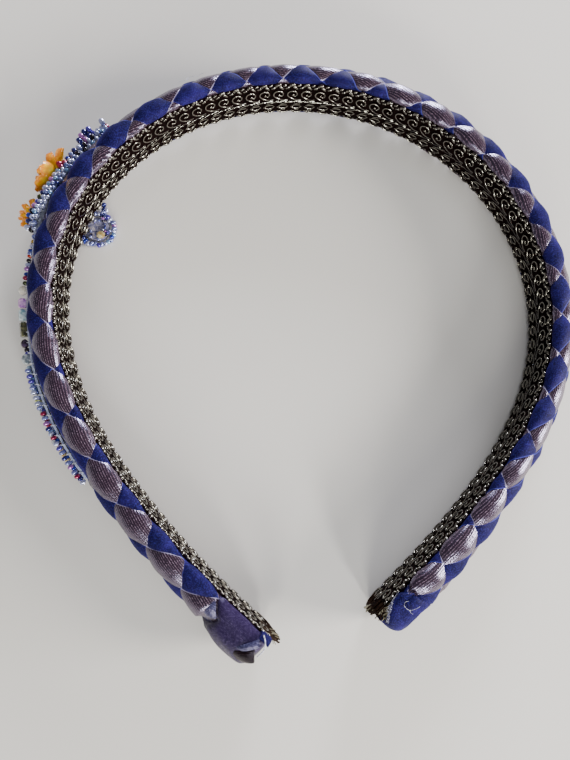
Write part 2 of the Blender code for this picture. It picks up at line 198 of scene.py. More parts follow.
def trace_section():
    """Walk, out, z and normal round the section, over both softened corners on to the inner face."""
    corner = acos(-SECTION_CENTRE / SECTION_OUT)
    angles = np.linspace(corner, -corner, 2000)
    out = SECTION_CENTRE + SECTION_OUT * np.cos(angles)
    z = BAND_MIDDLE + SECTION_UP * np.sin(angles)
    face = np.arange(FACE_TUCK, 0.0, -SECTION_STEP)
    out = np.concatenate([face * 0, out, face * 0])
    z = np.concatenate([z[0] - face, z, z[-1] + face[::-1]])
    walked = np.concatenate([[0.0], np.cumsum(np.hypot(np.diff(out), np.diff(z)))])
    walk = np.arange(0.0, walked[-1], SECTION_STEP)
    out, z = np.interp(walk, walked, out), np.interp(walk, walked, z)
    rounding = np.ones(2 * CORNER_STEPS + 1) / (2 * CORNER_STEPS + 1)
    out, z = (np.convolve(np.pad(line, CORNER_STEPS, mode="edge"), rounding, mode="valid")
              for line in (out, z))
    d_out, d_z = np.gradient(out), np.gradient(z)
    length = np.hypot(d_out, d_z) + 1e-9
    return np.array([walk - FACE_TUCK, out, z, -d_z / length, d_out / length])


SECTION = trace_section()


def rest_height(arc):
    """Lowest height of the padded band: on the floor or on the curled lobe."""
    return FLOOR_CLEAR + LOBE_LIFT * smooth((LOBE_HALF - np.abs(arc - LOBE_ARC)) / LOBE_SLOPE)


def on_band(arc, walk, lift):
    """Points on the padded band's surface, lifted off it."""
    out, z, toward_out, toward_up = (np.interp(walk, SECTION[0], column) for column in SECTION[1:])
    return spot(arc, out + toward_out * lift, z + toward_up * lift, rest_height(np.asarray(arc, float)))


# Meshes and nodes

def linear(hex_code):
    """Linear colour of an sRGB hex code."""
    parts = [int(hex_code[i:i + 2], 16) / 255 for i in (0, 2, 4)]
    return [p / 12.92 if p <= 0.04045 else ((p + 0.055) / 1.055) ** 2.4 for p in parts] + [1.0]


class Shape:
    """Points, faces and texture places of one piece while it is put together."""

    def __init__(self):
        self.points = []
        self.faces = []
        self.places = []
        self.tints = []

    def add(self, points, faces, places=None, tint=0.0):
        first = len(self.points)
        points = np.asarray(points, float).reshape(-1, 3)
        self.points.extend(points.tolist())
        self.faces.extend(tuple(first + i for i in face) for face in faces)
        places = np.zeros((len(points), 2)) if places is None else np.asarray(places).reshape(-1, 2)
        self.places.extend(places.tolist())
        self.tints.extend(np.broadcast_to(tint, len(points)).tolist())

    def piece(self, name, finish, sharp=60):
        """Object at the origin, smooth but for edges sharper than an angle in degrees."""
        mesh = bpy.data.meshes.new(name)
        mesh.from_pydata(self.points, [], self.faces)
        mesh.update()
        corners = np.empty(len(mesh.loops), int)
        mesh.loops.foreach_get("vertex_index", corners)
        layer = mesh.uv_layers.new(name="UVMap")
        layer.data.foreach_set("uv", np.array(self.places, float)[corners].ravel())
        tint = mesh.attributes.new("tint", "FLOAT", "POINT")
        tint.data.foreach_set("value", np.array(self.tints, float))
        bm = bmesh.new()
        bm.from_mesh(mesh)
        bmesh.ops.recalc_face_normals(bm, faces=bm.faces)
        bm.to_mesh(mesh)
        bm.free()
        mesh.shade_smooth()
        mesh.set_sharp_from_angle(angle=radians(sharp))
        if finish:
            mesh.materials.append(finish)
        obj = bpy.data.objects.new(name, mesh)
        bpy.context.collection.objects.link(obj)
        return obj


def grid_faces(rows, columns, closed=False, first=0):
    """Faces over a grid of points, closed across its columns or open."""
    faces = []
    for r in range(rows - 1):
        for c in range(columns if closed else columns - 1):
            d = (c + 1) % columns
            faces.append((first + r * columns + c, first + r * columns + d,
                          first + (r + 1) * columns + d, first + (r + 1) * columns + c))
    return faces


def grid_rim(rows, columns):
    """Row and column of each point round the edge of a grid."""
    left = [(r, 0) for r in range(rows)]
    end = [(rows - 1, c) for c in range(1, columns)]
    right = [(r, columns - 1) for r in range(rows - 2, -1, -1)]
    start = [(0, c) for c in range(columns - 2, 0, -1)]
    return left + end + right + start


def wall_faces(upper, lower):
    """Faces between two closed rings of points, given by their numbers."""
    return list(zip(upper, upper[1:] + upper[:1], lower[1:] + lower[:1], lower))


def pillow(shape, surface, drop, places):
    """Closed body with a grid of points as its top, and its dropped rim joined by a flat underside."""
    rows, columns = surface.shape[:2]
    rim = grid_rim(rows, columns)
    under = [rows * columns + k for k in range(len(rim))]
    faces = grid_faces(rows, columns) + wall_faces([r * columns + c for r, c in rim], under) + [tuple(under)]
    low, low_places = (np.array([grid[r, c] for r, c in rim]) for grid in (drop, places))
    shape.add(np.concatenate([surface.reshape(-1, 3), low]), faces,
              np.concatenate([places.reshape(-1, 2), low_places]))


def loft(shape, rings, places=None):
    """Closed body through rings of points, with a flat cap at each end."""
    rings = np.asarray(rings)
    count, around = rings.shape[:2]
    faces = grid_faces(count, around, closed=True)
    faces += [tuple(range(around)), tuple((count - 1) * around + k for k in range(around))]
    shape.add(rings, faces, places)


def strand(shape, route, radius, sides):
    """Closed thread or cord along a route, with one radius or one for each point."""
    route = np.asarray(route, float)
    count = len(route)
    radius = np.broadcast_to(radius, count)
    along = np.gradient(route, axis=0)
    along /= np.linalg.norm(along, axis=1)[:, None] + 1e-12
    side = np.cross(along[0], (0.3, 0.2, 0.93))
    rings = []
    for k in range(count):
        side = side - along[k] * np.dot(side, along[k])
        side /= np.linalg.norm(side) + 1e-12
        up = np.cross(along[k], side)
        turns = np.arange(sides) * 2 * pi / sides
        rings.append(route[k] + radius[k] * (np.cos(turns)[:, None] * side + np.sin(turns)[:, None] * up))
    walked = np.concatenate([[0], np.cumsum(np.linalg.norm(np.diff(route, axis=0), axis=1))]) / MM
    loft(shape, rings, np.stack(np.meshgrid(np.arange(sides) / sides, walked), -1))


def curl(points, steps):
    """Smooth route through given points."""
    points = np.asarray(points, float)
    count = len(points)
    padded = np.concatenate([[2 * points[0] - points[1]], points, [2 * points[-1] - points[-2]]])
    route = []
    for k in range(steps + 1):
        t = min(k / steps * (count - 1), count - 1 - 1e-9)
        i = int(t)
        f = t - i
        a, b, c, d = padded[i:i + 4]
        route.append(0.5 * (2 * b + (c - a) * f + (2 * a - 5 * b + 4 * c - d) * f * f
                            + (3 * b - a - 3 * c + d) * f ** 3))
    return np.array(route)


def feed(tree, node, inputs):
    """A node's inputs, each a value or another node's output."""
    for name, value in inputs.items():
        if isinstance(value, bpy.types.NodeSocket):
            tree.links.new(value, node.inputs[name])
        else:
            node.inputs[name].default_value = value


def add(tree, kind, inputs=None, stops=(), **settings):
    """One node with its settings, its inputs and, on a colour ramp, its stops as (place, hex)."""
    new = tree.nodes.new(kind)
    for name, value in settings.items():
        setattr(new, name, value)
    feed(tree, new, inputs or {})
    if stops:
        elements = new.color_ramp.elements
        while len(elements) < len(stops):
            elements.new(0.5)
        for element, (place, code) in zip(elements, stops):
            element.position = place
            element.color = linear(code)
    return new


# Sockets of a Mix node in colour mode, where several share a name
MIX_A = 6
MIX_B = 7
MIX_RESULT = 2


def start_material(name, inputs):
    """Material, its node tree and its shader, with the shader's own values."""
    mat = bpy.data.materials.new(name)
    mat.use_nodes = True
    shader = mat.node_tree.nodes["Principled BSDF"]
    feed(mat.node_tree, shader, inputs)
    return mat, mat.node_tree, shader


# Finishes

def selvedge(tree, ground, across, border, code):
    """Ribbon's colour with a paler woven border, which starts a share of the width from its middle."""
    aside = add(tree, "ShaderNodeMath", {0: across}, operation="ABSOLUTE").outputs[0]
    edge = add(tree, "ShaderNodeMath", {0: aside, 1: border}, operation="GREATER_THAN").outputs[0]
    colour = add(tree, "ShaderNodeMix", {"Factor": edge, MIX_A: ground, MIX_B: linear(code)},
                 data_type="RGBA")
    return colour.outputs[MIX_RESULT]


def royal_satin():
    """Woven polyester satin with a brushed, velvety face: soft broad sheen, light selvedges."""
    mat, tree, shader = start_material("brushed_polyester_satin_royal", {
        "Roughness": 0.6, "Sheen Weight": 0.15, "Sheen Roughness": 0.3, "Sheen Tint": linear("6468ff"),
        "Specular IOR Level": 0.06})
    place = add(tree, "ShaderNodeTexCoord").outputs
    # Slow changes of shade over about 4 mm
    cloud = add(tree, "ShaderNodeTexNoise", {"Vector": place["Object"], "Scale": 0.26 / MM, "Detail": 3.0})
    ground = add(tree, "ShaderNodeValToRGB", {"Fac": cloud.outputs["Fac"]},
                 [(0.3, "0b0729"), (0.55, "130c37"), (0.75, "201650")])
    # Brushed pile 0.28 mm across, as coarse as shows in the render
    pile = add(tree, "ShaderNodeTexNoise", {"Vector": place["Object"], "Scale": 3.6 / MM, "Detail": 2.0})
    speck = add(tree, "ShaderNodeValToRGB", {"Fac": pile.outputs["Fac"]},
                [(0.45, "000000"), (0.75, "34348c")])
    flecked = add(tree, "ShaderNodeMix", {"Factor": 0.45, MIX_A: ground.outputs["Color"],
                                          MIX_B: speck.outputs["Color"]}, data_type="RGBA", blend_type="ADD")
    across = add(tree, "ShaderNodeSeparateXYZ", {"Vector": place["UV"]}).outputs["Y"]
    bump = add(tree, "ShaderNodeBump", {"Height": pile.outputs["Fac"], "Strength": 0.35,
                                        "Distance": 0.12 * MM})
    feed(tree, shader, {"Base Color": selvedge(tree, flecked.outputs[MIX_RESULT], across, 0.465, "3a3c8a"),
                        "Normal": bump.outputs["Normal"]})
    return mat


def shot_taffeta(name, tones, border, shine=1.0, ribs=13, lie=0.0):
    """Shot ribbed taffeta, a dark warp under a silver-lilac weft: it glints thread by thread.

    ribs is their number over the ribbon's width, and lie how far they slant for each millimetre along it.
    """
    mat, tree, shader = start_material(name, {"Roughness": 0.26, "IOR": 1.75, "Specular IOR Level": shine,
                                              "Specular Tint": linear("dcd4ff")})
    place = add(tree, "ShaderNodeTexCoord").outputs
    split = add(tree, "ShaderNodeSeparateXYZ", {"Vector": place["UV"]}).outputs
    # Ribs that waver a little: 13 over 7.6 mm are 0.58 mm apart
    wobble = add(tree, "ShaderNodeTexNoise", {"Vector": place["Object"], "Scale": 0.5 / MM, "Detail": 2.0})
    bend = add(tree, "ShaderNodeMath", {0: wobble.outputs["Fac"], 1: 0.02}, operation="MULTIPLY").outputs[0]
    skew = add(tree, "ShaderNodeMath", {0: split["X"], 1: -lie, 2: split["Y"]}, operation="MULTIPLY_ADD")
    bent = add(tree, "ShaderNodeMath", {0: skew.outputs[0], 1: bend}, operation="ADD").outputs[0]
    phase = add(tree, "ShaderNodeMath", {0: bent, 1: 2 * pi * ribs}, operation="MULTIPLY").outputs[0]
    rib = add(tree, "ShaderNodeMath", {0: phase}, operation="SINE").outputs[0]
    # Single picks of the pale weft, 0.3 mm long, as coarse as shows
    pick = add(tree, "ShaderNodeTexNoise", {"Vector": place["Object"], "Scale": 3.0 / MM, "Detail": 2.0,
                                            "Roughness": 0.7})
    grain = add(tree, "ShaderNodeMath", {0: pick.outputs["Fac"], 1: 2.4}, operation="MULTIPLY").outputs[0]
    height = add(tree, "ShaderNodeMath", {0: rib, 1: 0.55, 2: grain}, operation="MULTIPLY_ADD").outputs[0]
    tone = add(tree, "ShaderNodeMapRange", {"Value": height, "From Min": 0.4, "From Max": 2.2}).outputs[0]
    ground = add(tree, "ShaderNodeValToRGB", {"Fac": tone}, tones).outputs["Color"]
    bump = add(tree, "ShaderNodeBump", {"Height": height, "Strength": 0.25, "Distance": 0.12 * MM})
    feed(tree, shader, {"Base Color": selvedge(tree, ground, split["Y"], 0.472, border),
                        "Normal": bump.outputs["Normal"]})
    return mat


def rayon_cord(name, deep, bright, rough):
    """Gimp cord wrapped in rayon: near black, and where it is glossy with sharp highlights on each turn."""
    glossy = rough < 0.5
    mat, tree, shader = start_material(name, {
        "Roughness": rough, "IOR": 1.8 if glossy else 1.3, "Specular IOR Level": 1.0 if glossy else 0.1,
        "Specular Tint": linear("fffcee")})
    place = add(tree, "ShaderNodeTexCoord").outputs
    # Wrapping thread 0.38 mm apart, as coarse as shows
    wrap = add(tree, "ShaderNodeTexNoise", {"Vector": place["Object"], "Scale": 2.6 / MM, "Detail": 2.0})
    colour = add(tree, "ShaderNodeValToRGB", {"Fac": wrap.outputs["Fac"]}, [(0.35, deep), (0.68, bright)])
    bump = add(tree, "ShaderNodeBump", {"Height": wrap.outputs["Fac"], "Strength": 0.25,
                                        "Distance": 0.1 * MM})
    feed(tree, shader, {"Base Color": colour.outputs["Color"], "Normal": bump.outputs["Normal"]})
    return mat


def wool_felt(name, deep, middle, pale, matting=1.5):
    """Pressed wool felt: matte, with matted fibres in two shades and a faint fuzz.

    matting is how many tufts of fibre lie on a millimetre.
    """
    mat, tree, shader = start_material(name, {"Roughness": 0.95, "Sheen Weight": 0.4, "Sheen Roughness": 0.6,
                                              "Specular IOR Level": 0.2})
    place = add(tree, "ShaderNodeTexCoord").outputs
    fibre = add(tree, "ShaderNodeTexNoise", {"Vector": place["Object"], "Scale": matting / MM, "Detail": 5.0,
                                             "Roughness": 0.75, "Distortion": 1.5})
    colour = add(tree, "ShaderNodeValToRGB", {"Fac": fibre.outputs["Fac"]},
                 [(0.35, deep), (0.5, middle), (0.66, pale)])
    bump = add(tree, "ShaderNodeBump", {"Height": fibre.outputs["Fac"], "Strength": 0.7,
                                        "Distance": 0.2 * MM})
    feed(tree, shader, {"Base Color": colour.outputs["Color"], "Normal": bump.outputs["Normal"]})
    return mat


# Lilac, violet, blue, crimson, pink, navy, sky, gold, plum black, pale lilac, red and olive
BEAD_COLOURS = ("868cc8", "5a4ab4", "2430a0", "96164a", "b878c4", "2a2878", "86a8d4", "b89850", "2a1a26",
                "bcc0e4", "b83018", "40461a")


def tint_of(colour):
    """Middle of a bead colour's share of the ramp, from its number."""
    return (colour + 0.5) / len(BEAD_COLOURS)


def lustre_glass():
    """Seed beads of lined glass with a rainbow lustre: hard highlights that shift in hue."""
    mat, tree, shader = start_material("lustre_seed_bead_glass", {
        "Roughness": 0.16, "Metallic": 0.55, "Coat Weight": 0.8, "Coat Roughness": 0.05,
        "Thin Film Thickness": 420.0, "Thin Film IOR": 1.6})
    tint = add(tree, "ShaderNodeAttribute", attribute_name="tint").outputs["Fac"]
    chooser = add(tree, "ShaderNodeValToRGB", {"Fac": tint},
                  [(k / len(BEAD_COLOURS), code) for k, code in enumerate(BEAD_COLOURS)])
    chooser.color_ramp.interpolation = "CONSTANT"
    feed(tree, shader, {"Base Color": chooser.outputs["Color"]})
    return mat


def bead_glass(name, deep, pale, rough=0.1, film=0.0, clear=0.0):
    """Pressed glass bead with a lined hole: clear highlights over a colour that varies a little."""
    mat, tree, shader = start_material(name, {
        "Roughness": rough, "Metallic": 0.2, "Coat Weight": 1.0, "Coat Roughness": 0.04,
        "Transmission Weight": clear, "Thin Film Thickness": film})
    place = add(tree, "ShaderNodeTexCoord").outputs
    swirl = add(tree, "ShaderNodeTexNoise", {"Vector": place["Object"], "Scale": 0.9 / MM, "Detail": 1.0})
    colour = add(tree, "ShaderNodeValToRGB", {"Fac": swirl.outputs["Fac"]}, [(0.38, deep), (0.62, pale)])
    feed(tree, shader, {"Base Color": colour.outputs["Color"]})
    return mat


def petal_film():
    """Thin dyed petals, translucent: yellow at the heart, orange further out, a peach edge."""
    mat, tree, shader = start_material("dyed_translucent_petal", {"Roughness": 0.3, "Coat Weight": 0.6})
    tint = add(tree, "ShaderNodeAttribute", attribute_name="tint").outputs["Fac"]
    place = add(tree, "ShaderNodeTexCoord").outputs
    vein = add(tree, "ShaderNodeTexNoise", {"Vector": place["Object"], "Scale": 0.9 / MM, "Detail": 3.0})
    spread = add(tree, "ShaderNodeMath", {0: vein.outputs["Fac"], 1: 0.9, 2: tint}, operation="MULTIPLY_ADD")
    shifted = add(tree, "ShaderNodeMath", {0: spread.outputs[0], 1: 0.5}, operation="SUBTRACT")
    colour = add(tree, "ShaderNodeValToRGB", {"Fac": shifted.outputs[0]},
                 [(0.05, "f8e258"), (0.4, "f2be18"), (0.75, "dc7a00"), (0.97, "f2b05c")])
    feed(tree, shader, {"Base Color": colour.outputs["Color"]})
    return mat


def spun_thread(name, deep, pale, rough=0.6):
    """Spun thread, or a cover of it: matte, a little uneven in tone."""
    mat, tree, shader = start_material(name, {"Roughness": rough, "Sheen Weight": 0.3})
    place = add(tree, "ShaderNodeTexCoord").outputs
    # Twist 0.4 mm apart, as coarse as shows
    twist = add(tree, "ShaderNodeTexNoise", {"Vector": place["Object"], "Scale": 2.5 / MM, "Detail": 2.0})
    colour = add(tree, "ShaderNodeValToRGB", {"Fac": twist.outputs["Fac"]}, [(0.35, deep), (0.65, pale)])
    feed(tree, shader, {"Base Color": colour.outputs["Color"]})
    return mat


def floor_paint():
    """Matte painted board, pale and plain."""
    mat, tree, shader = start_material("matte_painted_board", {"Roughness": 0.7, "Specular IOR Level": 0.25})
    place = add(tree, "ShaderNodeTexCoord").outputs
    wash = add(tree, "ShaderNodeTexNoise", {"Vector": place["Object"], "Scale": 6.0, "Detail": 3.0})
    colour = add(tree, "ShaderNodeValToRGB", {"Fac": wash.outputs["Fac"]}, [(0.3, "d5d2cd"), (0.7, "dbd8d3")])
    feed(tree, shader, {"Base Color": colour.outputs["Color"]})
    return mat


# Repeated pieces

# Every unit is drawn at its real size, or one millimetre thick where it comes in many sizes
UNIT_SIZE = 1.0


def repeater():
    """Geometry Nodes tree that sets one piece on many places, turned by their own directions."""
    tree = bpy.data.node_groups.new("set_on_places", "GeometryNodeTree")
    sockets = (("Places", "Geometry"), ("Piece", "Object"), ("Size", "Float"), ("Finish", "Material"))
    for name, kind in sockets:
        tree.interface.new_socket(name, in_out="INPUT", socket_type="NodeSocket" + kind)
    tree.interface.new_socket("Result", in_out="OUTPUT", socket_type="NodeSocketGeometry")
    given = add(tree, "NodeGroupInput").outputs
    piece = add(tree, "GeometryNodeObjectInfo", {"Object": given["Piece"]}).outputs["Geometry"]
    read = {}
    for name, kind in (("along", "FLOAT_VECTOR"), ("facing", "FLOAT_VECTOR"), ("size", "FLOAT")):
        reader = add(tree, "GeometryNodeInputNamedAttribute", {"Name": name}, data_type=kind)
        read[name] = reader.outputs["Attribute"]
    turned = add(tree, "FunctionNodeAxesToRotation",
                 {"Primary Axis": read["along"], "Secondary Axis": read["facing"]},
                 primary_axis="X", secondary_axis="Z").outputs["Rotation"]
    scale = add(tree, "ShaderNodeMath", {0: read["size"], 1: given["Size"]}, operation="MULTIPLY").outputs[0]
    copies = add(tree, "GeometryNodeInstanceOnPoints", {"Points": given["Places"], "Instance": piece,
                                                        "Rotation": turned, "Scale": scale})
    real = add(tree, "GeometryNodeRealizeInstances", {"Geometry": copies.outputs["Instances"]})
    finished = add(tree, "GeometryNodeSetMaterial", {"Geometry": real.outputs["Geometry"],
                                                      "Material": given["Finish"]})
    add(tree, "NodeGroupOutput", {"Result": finished.outputs["Geometry"]})
    return tree


def set_out(name, unit, places, along, facing, finish, sizes=1.0, tints=0.0):
    """Piece made of one unit repeated on places, as one plain mesh."""
    places = np.asarray(places, float)
    count = len(places)
    mesh = bpy.data.meshes.new(name)
    mesh.from_pydata(places.tolist(), [], [])
    for label, values in (("along", along), ("facing", facing)):
        layer = mesh.attributes.new(label, "FLOAT_VECTOR", "POINT")
        layer.data.foreach_set("vector", np.broadcast_to(values, (count, 3)).astype(float).ravel())
    for label, values in (("size", sizes), ("tint", tints)):
        layer = mesh.attributes.new(label, "FLOAT", "POINT")
        layer.data.foreach_set("value", np.broadcast_to(values, count).astype(float))
    seat = bpy.data.objects.new(name + "_places", mesh)
    bpy.context.collection.objects.link(seat)
    modifier = seat.modifiers.new("set_out", "NODES")
    modifier.node_group = REPEATER
    inputs = {item.name: item.identifier for item in REPEATER.interface.items_tree if item.in_out == "INPUT"}
    modifier[inputs["Piece"]] = unit
    modifier[inputs["Size"]] = UNIT_SIZE
    modifier[inputs["Finish"]] = finish
    depsgraph = bpy.context.evaluated_depsgraph_get()
    plain = bpy.data.meshes.new_from_object(seat.evaluated_get(depsgraph))
    plain.name = name
    bpy.data.objects.remove(seat, do_unlink=True)
    obj = bpy.data.objects.new(name, plain)
    bpy.context.collection.objects.link(obj)
    return obj


def unit_object(shape, name):
    """Repeated unit, kept out of the scene."""
    obj = shape.piece(name, None)
    obj.data.attributes.remove(obj.data.attributes["tint"])
    bpy.context.collection.objects.unlink(obj)
    return obj


def seed_bead():
    """Round seed bead with a small hole, its hole along x, one millimetre thick."""
    shape = Shape()
    around, rings = 10, 7
    points = []
    for r in range(rings):
        a = 2 * pi * r / rings
        radius = 0.33 + 0.19 * cos(a)
        for k in range(around):
            b = 2 * pi * k / around
            points.append((0.3 * sin(a), radius * cos(b), radius * sin(b)))
    faces = [(r * around + c, r * around + (c + 1) % around, ((r + 1) % rings) * around + (c + 1) % around,
              ((r + 1) % rings) * around + c) for r in range(rings) for c in range(around)]
    shape.add(np.array(points) * MM, faces)
    return unit_object(shape, "seed_bead")


# Ribbons

# Half length of a lobe in crossings, how high each ribbon's lobes stand and how deep their ends lie
LOBE_REACH = 0.64
PLUM_RISE = 1.15
ROYAL_RISE = 0.9
RIBBON_UNDER = -0.22
ACROSS = (-0.5, -0.485, -0.46, -0.42, -0.34, -0.23, -0.12, 0.0, 0.12, 0.23, 0.34, 0.42, 0.46, 0.485, 0.5)
# How far the plum ribbon is drawn in on the outside, and the royal one's far selvedge gives way, by arc
PLUM_DRAWN_IN = ((-75, -50, 12, 38, 52, 66, 150, 168), (0, 0.85, 0.85, 0.1, 0.1, 0.8, 0.8, 0.2))
ROYAL_GIVES = ((-40, 0, 80, 110), (0.0, 0.07, 0.08, 0.1))

WEAVE_END = 188.0
RIBBON_END = 190.0
PAD_END = 189.6
PAD_DEPTH = 0.5
PAD_OVER = 2.6
LEFT_TAIL = -178.0
RIGHT_TAIL = 182.6
TIP = 194.5


def lattice(p, q):
    """Arc and walk of a place in the weave, counted along both ribbons."""
    level, row, slant = (np.interp((p + q) / 2, WEAVE[:, 1], WEAVE[:, k]) for k in (0, 2, 3))
    walk = row + ROW_PERIOD * (p - q) / 2
    return level + slant * (walk - SLANT_WALK), walk


def tuck_in(walk):
    """Walk kept off the middle of the inner face, and how far the padding may rise there."""
    low, high, creep = -2.2, SECTION_WALK + 2.2, 0.04
    walk = np.where(walk < low, low + (walk - low) * creep, walk)
    walk = np.where(walk > high, high + (walk - high) * creep, walk)
    free = smooth((walk + 1.8) / 1.6) * smooth((SECTION_WALK + 0.5 - walk) / 1.5)
    return walk, free


def press(arc, walk):
    """How much of the padding's rise is left beside the felt of the spray."""
    beside = np.maximum(FELT_OUTLINE[0, 0] - arc, arc - FELT_OUTLINE[-1, 0])
    under = smooth(1 - beside / 2) * smooth((walk - 5.5) / 2) * smooth((SECTION_WALK - 4.5 - walk) / 2)
    return 1 - 0.8 * under


def under_tails(arc):
    """How far a ribbon has gone under the tails that are pulled over the tips."""
    return smooth((LEFT_TAIL - arc) / 1.6) + smooth((arc - RIGHT_TAIL) / 1.6)


def ribbon_lobe(shape, is_plum, m, n):
    """One puffed lobe of a ribbon where it passes over the other."""
    u, v = np.meshgrid(np.linspace(-LOBE_REACH, LOBE_REACH, 19), ACROSS, indexing="ij")
    middle = 1 - 4 * np.clip(u, -0.5, 0.5) ** 2
    if is_plum:
        arc, walk = lattice(m + u, n + v * (1 + 0.1 * middle))
        # Over the crown the plum ribbon is drawn tight and the royal one stands proud of it
        rise = PLUM_RISE - smooth((walk - 2.5) / 3) * np.interp(arc, *PLUM_DRAWN_IN)
    else:
        # The far selvedge gives way to the plum ribbon, more so on the plain arm
        give = np.interp(np.interp((m + n) / 2, WEAVE[:, 1], WEAVE[:, 0]), *ROYAL_GIVES)
        arc, walk = lattice(m + v - give * middle * (v + 0.5), n + u)
        rise = ROYAL_RISE
    walk, free = tuck_in(walk)
    over = np.cos(pi * u / (2 * LOBE_REACH)) ** 0.75
    dome = 1 - 0.66 * np.abs(2 * v) ** 2.6
    crease = 0.05 * np.sin(9 * u + 5 * v + 1.7 * m + 0.9 * n) + 0.03 * np.sin(17 * v + 2.3 * n + u * 4)
    puff = (RIBBON_UNDER + (rise - RIBBON_UNDER) * over * (dome + crease * over)) * free * press(arc, walk)
    lift = puff - (puff + 0.35) * under_tails(arc)
    arc = np.clip(arc, -RIBBON_END, RIBBON_END)
    top = on_band(arc, walk, lift)
    drop = on_band(arc, walk, np.minimum(lift - 0.22, lift * 0.5 - 0.15) * free - 0.02)
    pillow(shape, top, drop, np.stack([u * RIBBON_WIDTH, v], -1))


def woven_ribbons():
    """Both ribbons, as far as they show between the two tips."""
    plum, royal = Shape(), Shape()
    past_face = 5.2
    for m in range(-8, 42):
        for n in range(-10, 42):
            arc, walk = lattice(m, n)
            if abs(arc) < WEAVE_END and -past_face < walk < SECTION_WALK + past_face:
                is_plum = (m - n) % 2 == 0
                ribbon_lobe(plum if is_plum else royal, is_plum, m, n)
    return plum.piece("plum_ribbon_weave", PLUM, 50), royal.piece("royal_ribbon_weave", ROYAL, 50)


def padding():
    """Foam pad under the ribbons, from tip to tip."""
    shape = Shape()
    arc, walk = np.meshgrid(np.linspace(-PAD_END, PAD_END, 240),
                            np.linspace(-PAD_OVER, SECTION_WALK + PAD_OVER, 30), indexing="ij")
    loft(shape, on_band(arc, walk, -PAD_DEPTH))
    return shape.piece("foam_padding", PAD)


def tip_cap(name, side, starts, near, bulge, finish, corner):
    """Ribbon tail pulled round one tip, rounded off over its end.

    starts gives the arc where the tail begins for each walk, near the walk of its inner edge for each arc,
    bulge its extra thickness for each walk close to the end, and corner how much of its width the tip loses.
    """
    begin = np.concatenate([np.linspace(-2.0, 0.5, 5), np.linspace(1.2, SECTION_WALK - 1.2, 24),
                            np.linspace(SECTION_WALK - 0.5, SECTION_WALK + 2.0, 5)])
    steps = np.concatenate([np.linspace(0.0, 0.82, 16), np.linspace(0.86, 1.0, 9)])
    rounding, taper, depth, recess = 2.6, 5.0, 0.3, 0.9
    start = np.interp(begin, *np.transpose(starts))
    thick = np.interp(begin, *np.transpose(bulge))
    rows, inner = [], []
    for t in steps:
        arc = start + (TIP - start) * t
        past = np.maximum(0.0, arc - (TIP - rounding)) / rounding
        shrink = 1 - 0.42 * (1 - np.sqrt(np.maximum(0.0, 1 - past * past)))
        turn = np.clip((arc - (TIP - taper)) / taper, 0, 1)
        narrow = (1 + shrink) / 2 - corner * (1 - np.sqrt(1 - turn * turn))
        walks = begin + (np.interp(arc, *np.transpose(near)) + 2.0) * np.clip((4 - begin) / 6, 0, 1)
        out, z, toward_out, toward_up = (np.interp(walks, SECTION[0], column) for column in SECTION[1:])
        free = smooth((walks + 1.3) / 1.4) * smooth((SECTION_WALK + 0.3 - walks) / 1.4)
        crease = 0.12 * np.sin(walks * 0.9 + arc * 0.35) + 0.08 * np.sin(walks * 2.1 - arc * 0.8)
        lift = (0.75 * smooth(t * 9 + 0.35) + crease + thick * smooth((arc - 179) / 8)) * free
        for skin, lifted, reach in ((rows, lift, arc), (inner, -depth, np.minimum(arc, TIP - recess))):
            high = BAND_MIDDLE + (z + toward_up * lifted - BAND_MIDDLE) * shrink
            skin.append(spot(side * reach, (out + toward_out * lifted) * narrow, high, FLOOR_CLEAR))
    count, first = len(begin), len(begin) * len(steps)
    faces = grid_faces(len(steps), count) + grid_faces(len(steps), count, first=first)
    faces += [(k, k + 1, first + k + 1, first + k) for k in range(count - 1)]
    for r in range(len(steps) - 1):
        for c in (0, count - 1):
            a, b = r * count + c, (r + 1) * count + c
            faces.append((a, b, first + b, first + a))
    last = first - count
    faces += [tuple(last + k for k in range(count)), tuple(first + last + k for k in range(count))]
    places = np.stack(np.meshgrid(np.linspace(-0.45, 0.45, count), steps * 12), -1)[..., ::-1]
    shape = Shape()
    shape.add([rows, inner], faces, [places, places])
    return shape.piece(name, finish, 50)


def fold(name, corners, rise, base, finish):
    """Small fold of ribbon between four corners given as (arc, walk), lying on what is under it."""
    shape = Shape()
    u, v = np.meshgrid(np.linspace(0, 1, 14), np.linspace(0, 1, 12), indexing="ij")
    arc, walk = ((a * (1 - u) + b * u) * (1 - v) + (d * (1 - u) + c * u) * v for a, b, c, d in zip(*corners))
    dome = (1 - np.abs(2 * u - 1) ** 3) * (1 - np.abs(2 * v - 1) ** 3)
    lift = base + rise * dome
    walk, free = tuck_in(walk)
    top = on_band(arc, walk, lift * np.maximum(free, 0.2))
    drop = on_band(arc, walk, (lift - 0.3 - rise * 0.5) * np.maximum(free, 0.2))
    pillow(shape, top, drop, np.stack([u * 5.0, 0.9 * (v - 0.5)], -1))
    return shape.piece(name, finish, 50)


# Gimp braid

GIMP_PITCH = 3.85
GIMP_FACE = -0.55
SCROLL_START = -192.3
SCROLL_END = 190.6
GROUND_END = 193.6
# Height from the middle of the inner face, and out from it
GROUND_PROFILE = ((-6.55, -0.04), (-6.4, -0.4), (-5.0, -0.55), (-2.0, -0.6), (0.0, -0.65), (2.0, -0.6),
                  (4.3, -0.5), (5.2, -0.35), (5.6, -0.04))


